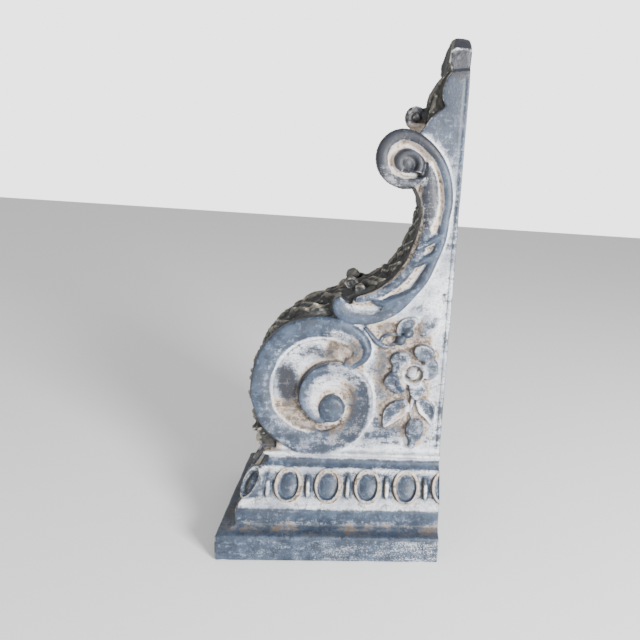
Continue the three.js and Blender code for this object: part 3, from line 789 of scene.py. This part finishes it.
def lay(coat, mask):
    """Lay a coat where the mask is stronger than what is there."""
    np.maximum(coat, mask, out=coat)

def put(coat, zone, value):
    """Set a coat to a value in a zone."""
    coat[:] = np.where(zone, value, coat)

def fade(coat, *masks):
    """Rub a coat off by one or more masks."""
    for mask in masks:
        coat *= 1 - mask

def curve(value, text):
    """Straight runs between pairs of a place and a value."""
    places, values = zip(*spots(text))
    return np.interp(value, places, values)

# %% Coats on the panel and the scroll
near_side = points[:, 1] < 0
side_body = ease(41, 43, beside) * ease(97, 101, Z) * (1 - ease(54, 60, beside))
panel = side_body * (1 - ease(44.2, 46, beside))
level_chalk = curve(Z, """98 0.9, 104 0.56, 120 0.28, 150 0.32, 178 0.38, 210 0.42, 260 0.46,
    300 0.46, 350 0.44, 400 0.34, 440 0.18, 490 0.08""")
chalk = panel * (level_chalk + 0.22 * ease(82, 98, X) * hump(125, 290, 25, Z))
lay(chalk, 0.8 * ease(0.25, 1.1, broad_hollow) * side_body)
s, t, gap = along_band(SCROLL)
on_scroll = side_body * (gap < 1.15) * ease(0, 0.02, s)
outer = hump(0.13, 0.52, 0.06, s)
lay(chalk, on_scroll * 0.95 * outer * hump(0.98, 1.3, 0.14, t))
inside = side_body * (away(-13, 171) < 62) * (X < 27) * (beside < 49.5)
put(chalk, (on_scroll > 0.5) & (gap < 1) & (t < 0.7), 0)
# A pale streak low on the left of the scroll band: painted highlight, partly wear.
lay(chalk, on_scroll * hump(0.3, 0.48, 0.06, s) * hump(0.3, 0.52, 0.18, t) * 0.34)
channel = inside * (gap > 1) * (away(-1, 155) > 26)
left_of_coil = channel * (s > 0.76)
put(chalk, (channel > 0.3) & ((t > 1.25) | (s > 0.62)), 0.66)
bare = channel * (1 - ease(0.5, 1.35, np.hypot((X + 50 + 0.1 * (Z - 175)) / 10.5, (Z - 174) / 23)))
grey = channel * hump(-34, -8, 8, X) * hump(203, 211, 4, Z)
fade(chalk, 0.92 * bare, 0.6 * grey)
s = np.where(channel * (s > 0.62) > 0.3, 0.26 + 0.16 * ease(165, 135, Z), s)
angle_s = curve(np.degrees(np.arctan2(Z - 160, -(X + 8))),
                "-60 0.5, -30 0.42, 0 0.33, 40 0.26, 80 0.18, 120 0.1")
coil = ease(0.68, 0.76, s)
lay(chalk, on_scroll * (gap < 2) * coil * ease(-0.9, 1.3, t) * 0.72)
lay(chalk, on_scroll * hump(0.46, 0.7, 0.06, s) * hump(-0.8, 0.9, 0.2, t) * 0.27)
lay(chalk, on_scroll * hump(0.58, 0.78, 0.05, s) * hump(-1, -0.72, 0.08, t) * 0.5)
lay(chalk, on_scroll * hump(0.74, 0.8, 0.05, s) * 0.4)
eye_gap = np.hypot((X - EYE_X) / 13.4, (Z - EYE_Z) / 14.8)
interior = side_body * ease(1, 1.12, eye_gap) * (1 - ease(2, 2.5, eye_gap)) * ease(-0.3, 1.7, t)
interior = interior * ease(0.54, 0.64, s)
lay(chalk, interior * (0.82 - 0.42 * ease(4, 20, X)))
put(chalk, (eye_gap < 1) & (side_body > 0.5), 0.12 + 0.3 * ease(3, 9, X) * ease(150, 140, Z))
tan = interior * hump(1.05, 1.35, 0.12, eye_gap) * 0.55
for low, high, soft in spots("0.37 0.56 0.05, 0.06 0.15 0.03"):
    tan += 0.85 * channel * hump(low, high, soft, angle_s)
lay(tan, interior * ease(2, 9, X) * 0.62)
lay(tan, on_scroll * hump(0, 0.14, 0.03, s) * hump(-0.05, 1, 0.15, t) * 0.75)
lay(chalk, on_scroll * hump(0.04, 0.2, 0.03, s) * hump(-0.1, 0.9, 0.15, t) * 0.5)
lay(tan, on_scroll * hump(0.6, 0.74, 0.05, s) * ease(0.3, 0.9, t) * 0.7)
lay(tan, left_of_coil * (1 - ease(1.3, 1.8, gap)) * 0.55)
purple = np.maximum(bare, 0.6 * grey)
lay(purple, on_scroll * hump(0.6, 0.74, 0.04, s) * hump(-0.5, 0.3, 0.4, t) * 0.55)

# %% Coats on the S band
rim_s, rim_t, rim_gap = along_band(RIM)
on_rim = side_body * (rim_gap < 1.05)
put(chalk, (on_rim > 0.5) & (rim_gap < 1), 0.1)
lay(chalk, on_rim * hump(0.02, 0.14, 0.12, rim_s) * 0.36)
lay(purple, on_rim * hump(0, 0.4, 0.12, rim_s) * 0.8)
small_eye = side_body * (away(57, 399.8) < 12)
lay(purple, small_eye)
# The volute's eye is paler towards its lower right: painted highlight.
put(chalk, (small_eye > 0.3) & (beside > 46), 0.02 + 0.42 * ease(58, 70, X + 0.6 * (400 - Z)))
lay(chalk, on_rim * hump(0.8, 0.93, 0.05, rim_s) * ease(0.35, 0.9, -rim_t) * 0.6)
mid_s, _, mid_gap = along_band(MIDDLE)
on_middle = side_body * (mid_gap < 1.05) * (rim_gap > 1)
lay(purple, on_middle * (1 - ease(0.4, 0.5, mid_s)) * 0.75)
put(chalk, on_middle > 0.5, np.maximum(np.minimum(chalk, 0.36), 0.26))
in_channel = side_body * (beside < 47.6) * (rim_gap > 1) * (mid_gap > 0.9) * (mid_gap < 1.9)
lay(chalk, in_channel * 0.95)
lay(tan, in_channel * 0.62)
CREAM_LINE = """64.5 387.8, 57.6 385.6, 48.5 389.3, 43.2 395.6, 43.1 406.7, 49.1 414.7, 59.1 416.2,
    69.9 412, 79.2 404.2, 86.8 396.3, 91.7 386.3, 93.9 374.2, 93.9 362, 91.8 349.5, 87.6 338.5"""
cream = side_body * (1 - ease(2.2, 4.2, near_line(CREAM_LINE, 60))) * (beside < 52)
cream = cream * ease(0.62, 0.85, rim_gap)
lay(chalk, cream * 0.95)
lay(tan, cream * 0.42)
beside_eye = side_body * (1 - ease(12, 15, away(67, 395))) * (1 - cream)
fade(purple, cream)
lay(purple, 0.85 * beside_eye)
fade(chalk, 0.6 * beside_eye)

# %% Coats on the rose
rose_zone = hump(48, 92, 8, X) * hump(122, 240, 8, Z) * panel
toward = (broad - points)[:, 0] * (1.25 / VOXEL)
lay(tan, hump(-76, -58, 6, X) * hump(99, 112, 4, Z) * (beside < 50) * 0.62)
lay(tan, rose_zone * ease(0.1, 0.6, broad_hollow) * 0.8)
# Tan on the panel just left of the raised rose: painted shade, as the light comes from the right.
lay(tan, panel * hump(44, 100, 4, X) * hump(108, 240, 8, Z) * ease(0.1, 0.6, toward) * 1.1)
lay(tan, panel * hump(42, 52, 5, X) * hump(170, 222, 8, Z) * 0.72)
lay(tan, side_body * hump(30, 56, 6, X) * hump(226, 244, 6, Z) * (beside < 46) * 0.6)
relief_top = side_body * hump(46, 106, 2, X) * hump(104, 254, 3, Z) * ease(44.3, 45.4, beside)
rim_share = np.where(X > 72, 0.3, 0.14)
high_leaf = (X > 88) & (Z > 225)
put(chalk, relief_top > 0.5,
    np.where(high_leaf, 0.42, 0.3) + rim_share * ease(0.12, 0.4, -fine_hollow))
# Painted highlight: a pale strip along the lower right of the two low leaves.
left_axis = 0.735 * (X - 50) - 0.678 * (Z - 129.5)
right_axis = -0.814 * (X - 83) - 0.581 * (Z - 158)
left_leaf_highlight = hump(49, 76, 2, X) * hump(128, 161, 2, Z) * hump(0.8, 7.5, 1.5, left_axis)
right_leaf_highlight = hump(84, 101, 2, X) * hump(132, 161, 2, Z) * hump(-1.5, 4, 1.5, right_axis)
lay(chalk, relief_top * 0.72 * np.maximum(left_leaf_highlight, right_leaf_highlight))
# Painted shade on the rose: purple on its slopes that face up and to the left, tan on its left-facing
# walls.
shaded = (relief_top > 0.5) * ease(0.1, 0.5, np.maximum(NZ, -NX))
lay(purple, shaded * 0.6)
lay(tan, (relief_top > 0.5) * ease(0.15, 0.5, -NX) * (1 - ease(46.5, 48.5, beside)) * 0.75)
heart_gap = away(HEART_X, HEART_Z)
lay(chalk, relief_top * 0.62 * hump(12, 15, 3, heart_gap))
berry = (np.minimum(away(*BERRY_LOW), away(*BERRY_HIGH)) < 5.6) * relief_top
fade(chalk, 0.75 * berry)
lay(purple, 0.5 * berry)
put(chalk, (heart_gap < 12.5) & (side_body > 0.5), 0.5)
lay(tan, (heart_gap < 12.5) * side_body * ease(0, 0.3, fine_hollow) * 0.9)
# Painted shade: tan along the left rim of the heart.
lay(tan, 0.7 * side_body * hump(12.8, 13.8, 1, heart_gap) * ease(-2, -7, X - HEART_X))
high = ease(38.5, 40, beside) * ease(395, 455, Z) * (X > 74)
lay(purple, high * (0.52 + 0.4 * ease(478, 484, Z)))
fade(chalk, 0.9 * ease(478, 484, Z))

# %% Coats on the abacus
on_abacus = 1 - ease(97, 101, Z)
# Chalk by height on the abacus; the little chalk low in the hollow neck (86 to 91 mm) leaves it dark
# blue as painted shade.
level_bands = curve(Z, """0 0.02, 3 0.06, 8 0.14, 20 0.12, 25 0.04, 27 0, 28.5 0.24, 31 0.28,
    33 0.36, 38 0.2, 42 0.03, 47.5 0, 48.5 0.6, 52.5 0.72, 54 0.5, 82 0.5, 83 0.72, 84.5 0.5,
    86 0.1, 91 0.12, 94 0.66, 96 0.85, 99 0.9, 101 0.9""")
fade(chalk, on_abacus)
lay(chalk, on_abacus * level_bands)
lay(chalk, (0.62 + 0.2 * ease(-60, -20, X)) * hump(94, 103, 2, Z) * (beside > 40) * (gap > 1))
best_egg = np.full(count, 9.0)
egg_height = (Z - EGG_Z) / 13.2
for x in side_eggs:
    best_egg = np.minimum(best_egg, np.hypot((X - x) / 12, egg_height) + (beside < 40) * 9)
for y in (-front_pitch, front_pitch):
    across = (points[:, 1] - y) / 12
    best_egg = np.minimum(best_egg, np.hypot(across, egg_height) + (X > -60) * 9)
egg_band = on_abacus * hump(52, 84, 1.5, Z)
rim_white = egg_band * hump(0.86, 1.2, 0.06, best_egg)
between = 0.22 + 0.44 * ease(8, 14, np.abs(Z - EGG_Z))
put(chalk, egg_band > 0.5, np.where(best_egg < 0.86, 0.16, np.maximum(rim_white * 0.74, between)))
# Tan on the egg rims; the extra on rim walls facing the wall end is painted shade on their shadow
# side.
lay(tan, rim_white * (0.42 + 0.3 * ease(0, 0.5, NX)))
lay(tan, on_abacus * hump(28, 32.5, 1, Z) * 0.45)
dart_gap = np.min([np.abs(X - (x - EGG_PITCH / 2))
                   for x in side_eggs + [side_eggs[-1] + EGG_PITCH]], axis=0)
lay(chalk, egg_band * (dart_gap < 1.8) * hump(62, 73, 2, Z) * 0.8)
lay(chalk, egg_band * hump(5.6, 6.8, 0.8, dart_gap) * hump(60, 78, 3, Z) * 0.55)

# %% Front, crown and curl
# The front coat is mostly painted shade: faces turned to the front, away from the light, take a dark
# olive, which is partly the front's own duller tone.
front = ease(0.25, 0.7, -NX) * (1 - ease(41.5, 44, beside)) * ease(100, 103, Z)
behind_scroll = side_body * (gap > 1.03) * (away(-13, 171) > 66) * (X < 4) * (X > -95)
lay(front, behind_scroll * (Z > 125) * (beside < 49))
lay(front, (1 - ease(41.5, 43, beside)) * ease(101, 104, Z) * (1 - ease(104, 108, X)) * (Z < 483))
# Painted shade on the abacus faces that turn to the front.
lay(front, (0.5 + 0.3 * ease(26, 29, Z)) * ease(0.35, 0.7, -NX) * on_abacus)
# Painted shade on the crown's top faces: purple coat, chalk taken off.
crown_top = ease(0.25, 0.6, NZ) * ease(505, 508, Z)
lay(purple, crown_top)
fade(chalk, crown_top)
lay(chalk, 0.7 * hump(504, 506, 0.8, Z) * ease(39.6, 40.8, beside))
CURL_X, CURL_Z = 66.7, 444
curl_gap = away(CURL_X, CURL_Z)
curl_end = (curl_gap < 11) * hump(12, 19, 1, beside)
curl_neck = hump(57, 74, 3, X) * hump(424, 437, 3, Z) * (beside < 20)
put(front, (X < -60) & (Z < 112) & (beside < 42) & (Z > 101), front * 0.85)
fade(front, 0.9 * curl_end, 0.95 * curl_neck)
lay(tan, np.maximum(0.4 * curl_end, 0.45 * curl_neck))
lay(purple, 0.9 * curl_end)
lay(chalk, 0.95 * curl_neck)
fade(purple, curl_neck)

# %% Painted shade, dark lines, pale edges and speckle
# Painted shade: darker in the fine creases, and on the side walls of the relief that face away from
# the light.
shade_and_dark_lines = ease(0.16, 0.5, fine_hollow)
lay(shade_and_dark_lines, 0.75 * side_body * ease(0.45, 0.85, -NX) * ease(44, 46, beside))
# Painted shadow in the shallow seam along the wall edge.
lay(shade_and_dark_lines, side_body * scratch(SEAM, 0.8, 30) * 0.7)
winding = np.abs((curl_gap / 4.6 - np.arctan2(Z - CURL_Z, X - CURL_X) / (2 * math.pi)) % 1 - 0.5)
lay(shade_and_dark_lines, 0.9 * curl_end * (1 - ease(0.14, 0.34, winding)))
# More painted shade on the crown's top faces.
lay(shade_and_dark_lines, 0.5 * crown_top)
# Painted shade on the left of the volute's eye.
lay(shade_and_dark_lines, 0.5 * small_eye * (1 - ease(58, 64, X)))
lay(shade_and_dark_lines, 0.62 * side_body * hump(6.6, 8.4, 0.8, heart_gap))
lay(shade_and_dark_lines, 0.7 * side_body * scratch(HEART_FOLD, 1.2, 14))
# Painted shade: dark along the left rim of the heart.
lay(shade_and_dark_lines, 0.4 * side_body * hump(12.8, 13.6, 0.8, heart_gap) * ease(-3, -8, X - HEART_X))
# Painted shade along the upper and left edges of two petals.
for streak in ("81.5 218.5, 88 217, 96.5 210.5", "93 202, 93.4 196, 95.5 188.5"):
    lay(shade_and_dark_lines, 0.55 * relief_top * scratch(streak, 2, 14))
# Painted shade on the inner wall of the S band's rim, which faces away from the light.
rim_inside = side_body * bell(rim_t + 1, 0.16) * hump(0.42, 0.68, 0.04, rim_s) * (rim_gap < 1.3)
lay(shade_and_dark_lines, 0.7 * rim_inside)
for groove in (-0.14, 0.2, 0.52):
    lay(shade_and_dark_lines, 0.62 * on_scroll * hump(0.03, 0.17, 0.02, s) * bell(t - groove, 0.08))
lay(shade_and_dark_lines, 0.5 * egg_band * hump(3.9, 5, 0.7, dart_gap) * hump(59, 79, 3, Z))
fade(shade_and_dark_lines, 0.8 * (away(75, 397) < 11) * side_body)
lay(shade_and_dark_lines, 0.72 * (away(13, 276) < 15) * (beside < 41) * front)
lay(shade_and_dark_lines, 0.5 * front * (Z < 145) * (X < -78))
fade(chalk, 0.75 * ease(111.5, 112.2, X) * ease(0.5, 0.8, NX))
lay(shade_and_dark_lines, 0.38 * channel * hump(0.37, 0.56, 0.05, angle_s))
lay(shade_and_dark_lines, 0.42 * (X < -58) * (beside < 43) * hump(98, 122, 3, Z))
COIL_FOOT = "-17.2 146.7, -15.4 155, -10.6 161.1, -4 163.6, 2.4 164.8"
lay(shade_and_dark_lines, side_body * (eye_gap > 0.9) * scratch(COIL_FOOT, 1, 16) * 0.95)
for mark in (scratch(CRACK, 0.8, 12), away(*PIT) < 2.4):
    lay(shade_and_dark_lines, near_side * side_body * mark * 0.8)
fade(shade_and_dark_lines, 0.85 * hump(93.5, 99.5, 1, Z) * (beside > 44), 0.7 * curl_neck, 0.7 * cream)
for dash in ("10 95.2, 17 96.3", "22 96.2, 33 94.9", "-58 97, -50 95.6, -40 94.4"):
    lay(shade_and_dark_lines, near_side * on_abacus * scratch(dash, 0.7, 10) * 0.8)
# Painted shadow: a dark crescent on the channel floor along the coil's left edge.
lay(shade_and_dark_lines, 0.95 * left_of_coil * (1 - ease(1.12, 1.35, gap)))
lay(shade_and_dark_lines, 0.85 * on_scroll * hump(0.58, 0.76, 0.03, s) * bell(t + 0.5, 0.07))
lay(shade_and_dark_lines, 0.8 * on_scroll * hump(0.14, 0.5, 0.03, s) * bell(t - 0.82, 0.1))
lay(shade_and_dark_lines, 0.75 * on_scroll * hump(0.06, 0.3, 0.03, s) * bell(t - 0.42, 0.09))
# Pale convex edges: partly worn paint, partly painted highlight.
worn_and_highlit = ease(0.12, 0.4, -fine_hollow)
speckled = on_abacus * (1 - ease(24, 26, Z)) * np.clip(0.42 + X / 340, 0, 1)
print("coats measured on", count, "points")

# %% Keep the coats on the mesh
def keep(name, values):
    """Write one value a point to the mesh; the coats are averaged more than the lines."""
    rounds = 3 if name in ("chalk", "tan", "purple") else 1
    values = averaged(np.clip(values, 0, 1).reshape(-1, 1), rounds)[:, 0]
    layer = mesh.attributes.new(name, 'FLOAT', 'POINT')
    layer.data.foreach_set("value", values.astype(np.float32))

# How deep each point lies in a broad hollow; it tones the front's olive and finds the crests for
# their painted highlight.
hollow_share = np.clip(0.5 + broad_hollow * 0.35, 0, 1)
for name, values in {"chalk": chalk, "tan": tan, "purple": purple, "front": front, "shade_and_dark_lines": shade_and_dark_lines,
                     "worn_and_highlit": worn_and_highlit, "hollow_share": hollow_share, "speckled": speckled}.items():
    keep(name, values)

# %% Thin the mesh
MOST_TRIANGLES = 192000
INSIDE = 1e-5
triangles = sum(len(p.vertices) - 2 for p in mesh.polygons)
if triangles > MOST_TRIANGLES:
    thin = block.modifiers.new("thin", 'DECIMATE')
    thin.ratio = MOST_TRIANGLES / triangles
    apply(thin)
mesh = block.data
thinned = np.empty(len(mesh.vertices) * 3)
mesh.vertices.foreach_get("co", thinned)
low_corner, high_corner = np.array(cad_low) + INSIDE, np.array(cad_high) - INSIDE
low_corner[2] = cad_low[2]
mesh.vertices.foreach_set("co", np.clip(thinned.reshape(-1, 3), low_corner, high_corner).ravel())
mesh.update()
print("triangles", triangles, "kept", sum(len(p.vertices) - 2 for p in mesh.polygons))
deselect()
block.select_set(True)
bpy.context.view_layer.objects.active = block
bpy.ops.object.shade_smooth()

# %% [markdown]
# ## Finish
# The finish is a satin blue-grey paint with a white chalk wash over the flat fields and in the
# hollows, and tan where the old coat shows at the bottom. Painted shade darkens the creases and the
# faces turned from the light: tan and purple on the relief, dark olive on the front. The pale crests
# and edges are partly wear, partly painted highlight.
# Noise at several sizes breaks up every edge between them, and a fine speckle wears the paint.

# %% Material
finish = bpy.data.materials.new("rubbed_blue_paint")
finish.use_nodes = True
tree = finish.node_tree
shader = tree.nodes["Principled BSDF"]

def srgb(*seen):
    """A colour given as seen, turned to the linear values that a shader takes."""
    shares = [c / 255 for c in seen]
    return tuple(c / 12.92 if c <= 0.04045 else ((c + 0.055) / 1.055) ** 2.4 for c in shares) + (1,)

def feed(socket, value):
    """Give a socket a number, a colour as seen, or another node's output."""
    if isinstance(value, tuple):
        value = srgb(*value)
    if isinstance(value, (int, float, tuple)):
        socket.default_value = value
    else:
        tree.links.new(value, socket)

def node(kind, sockets, **settings):
    """A node with its settings and what goes into its sockets; gives its outputs."""
    made = tree.nodes.new(kind)
    for key, value in settings.items():
        setattr(made, key, value)
    for key, value in sockets.items():
        feed(made.inputs[key], value)
    return made.outputs

own_place = node("ShaderNodeTexCoord", {})["Object"]
stretched = tree.nodes.new("ShaderNodeMapping")
stretched.inputs["Scale"].default_value = (0.3, 0.3, 1.6)
feed(stretched.inputs["Vector"], own_place)

def noise(scale, detail, rough, place=own_place):
    """Noise on the piece's own coordinates; scale is in features a metre."""
    return node("ShaderNodeTexNoise", {"Scale": scale, "Detail": detail, "Roughness": rough,
                                       "Vector": place})["Fac"]

def combine(operation, a, b):
    """One math node on two values."""
    return node("ShaderNodeMath", {0: a, 1: b}, operation=operation)[0]

def times(a, b):
    """Two values multiplied."""
    return combine('MULTIPLY', a, b)

def plus(a, b):
    """Two values added."""
    return combine('ADD', a, b)

def ramp(value, low, high, start=0, end=1, kind='SMOOTHSTEP'):
    """A value spread from low..high to start..end."""
    return node("ShaderNodeMapRange", {"Value": value, "From Min": low, "From Max": high,
                "To Min": start, "To Max": end}, interpolation_type=kind)["Result"]

def blend(mask, base, over, share=1):
    """Lay one colour over another by a mask, or by a share of it."""
    mask = mask if share == 1 else times(mask, share)
    return node("ShaderNodeMix", {"Factor": mask, "A": base, "B": over}, data_type='RGBA')["Result"]

def attribute(name):
    """A coat's values, kept on the mesh."""
    return node("ShaderNodeAttribute", {}, attribute_name=name)["Fac"]

patch = noise(22, 5, 0.65)
cloud = noise(70, 6, 0.72)
fleck = noise(230, 4, 0.75)
speck = noise(620, 3, 0.7)
brush = noise(120, 5, 0.7, stretched.outputs["Vector"])

# %% Colour
def around(value, amount):
    """A noise moved to swing round zero by an amount."""
    return times(combine('SUBTRACT', value, 0.5), amount)

def broken(mask, low, high, big, small):
    """A painted mask whose edge is broken up by cloud, fleck and speck."""
    mixed = plus(mask, around(cloud, big))
    mixed = plus(mixed, around(fleck, small))
    mixed = plus(mixed, around(speck, small * 0.7))
    mixed = plus(mixed, around(brush, big * 0.5))
    return ramp(mixed, low, high)

paint = blend(ramp(cloud, 0.36, 0.64), (35, 44, 58), (61, 75, 94))
paint = blend(ramp(patch, 0.45, 0.68), paint, (50, 57, 68), 0.7)
paint = blend(ramp(plus(fleck, around(brush, 0.5)), 0.52, 0.74), paint, (97, 111, 130), 0.75)
# The purple coat: darker paint patches, with painted shade on the rose's shaded slopes and the
# crown's top.
paint = blend(broken(attribute("purple"), 0.3, 0.8, 0.8, 0.6), paint, (30, 32, 40))
chalk_mask = broken(attribute("chalk"), 0.26, 0.8, 1.4, 1.1)
warm = ramp(plus(attribute("tan"), around(cloud, 1)), 0.04, 0.45, 0, 0.8)
chalky = blend(ramp(patch, 0.4, 0.65), (243, 243, 245), (208, 205, 202))
chalky = blend(ramp(plus(fleck, around(cloud, 1)), 0.47, 0.7), chalky, (128, 138, 158), 0.8)
chalky = blend(ramp(plus(brush, around(patch, 0.9)), 0.46, 0.7), chalky, (104, 117, 140), 0.8)
chalky = blend(warm, chalky, (205, 174, 136))
colour = blend(chalk_mask, paint, chalky, 0.9)
scuffs = ramp(plus(plus(plus(speck, around(cloud, 0.5)), around(brush, 0.6)),
                     times(attribute("speckled"), 0.14)), 0.58, 0.76)
colour = blend(times(scuffs, attribute("speckled")), colour, (206, 209, 214), 0.85)
thin_wash = ramp(plus(attribute("chalk"), around(brush, 1)), 0.25, 0.8)
colour = blend(thin_wash, colour, (205, 210, 218), 0.25)
streaks = ramp(plus(fleck, around(brush, 0.9)), 0.36, 0.62, 0.35, 0.9)
# Brown streaks in the tan coat, which holds the old coat and the painted shade on the left of the
# relief.
colour = blend(times(broken(attribute("tan"), 0.32, 0.86, 1.7, 1.5), streaks), colour, (66, 54, 42))
# Pale convex edges, partly wear and partly painted highlight; on the front they are cream.
wear_and_highlight = ramp(plus(attribute("worn_and_highlit"), around(fleck, 1.2)), 0.5, 0.9)
colour = blend(wear_and_highlight, colour, (196, 201, 208), 0.45)
olive_by_hollow = ramp(plus(attribute("hollow_share"), around(fleck, 0.8)), 0.42, 0.75)
olive = blend(olive_by_hollow, (22, 23, 22), (52, 49, 43))
olive = blend(ramp(plus(attribute("worn_and_highlit"), around(fleck, 1.6)), 0.45, 0.95), olive, (192, 180, 158))
# Painted highlight: cream on the crests of the front's leaves.
crest = ramp(plus(attribute("hollow_share"), around(fleck, 0.6)), 0.4, 0.2)
olive = blend(crest, olive, (186, 176, 156), 0.24)
# Painted shade: the dark olive laid over the front coat.
colour = blend(ramp(plus(attribute("front"), around(cloud, 0.5)), 0.35, 0.7), colour, olive, 0.92)
# The dark coat: painted shade in creases and on faces turned from the light, with the real cracks,
# pit and carved lines.
line = ramp(plus(attribute("shade_and_dark_lines"), around(fleck, 0.7)), 0.4, 0.8)
colour = blend(line, colour, (30, 31, 34), 0.75)
feed(shader.inputs["Base Color"], colour)
dullness = ramp(chalk_mask, 0, 1, 0.5, 0.85, 'LINEAR')
feed(shader.inputs["Roughness"], plus(dullness, around(speck, 0.25)))

# %% Bumps
grain = node("ShaderNodeBump", {"Strength": 0.5, "Distance": 0.0012,
                                "Height": plus(times(cloud, 0.7), times(fleck, 0.5))})["Normal"]
crumb = node("ShaderNodeBump", {"Strength": 0.35, "Distance": 0.0005, "Height": speck,
                                "Normal": grain})["Normal"]
feed(shader.inputs["Normal"], crumb)
block.data.materials.clear()
block.data.materials.append(finish)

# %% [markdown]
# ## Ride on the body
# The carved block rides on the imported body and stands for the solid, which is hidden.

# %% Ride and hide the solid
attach(block, "root")
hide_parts("corbel")
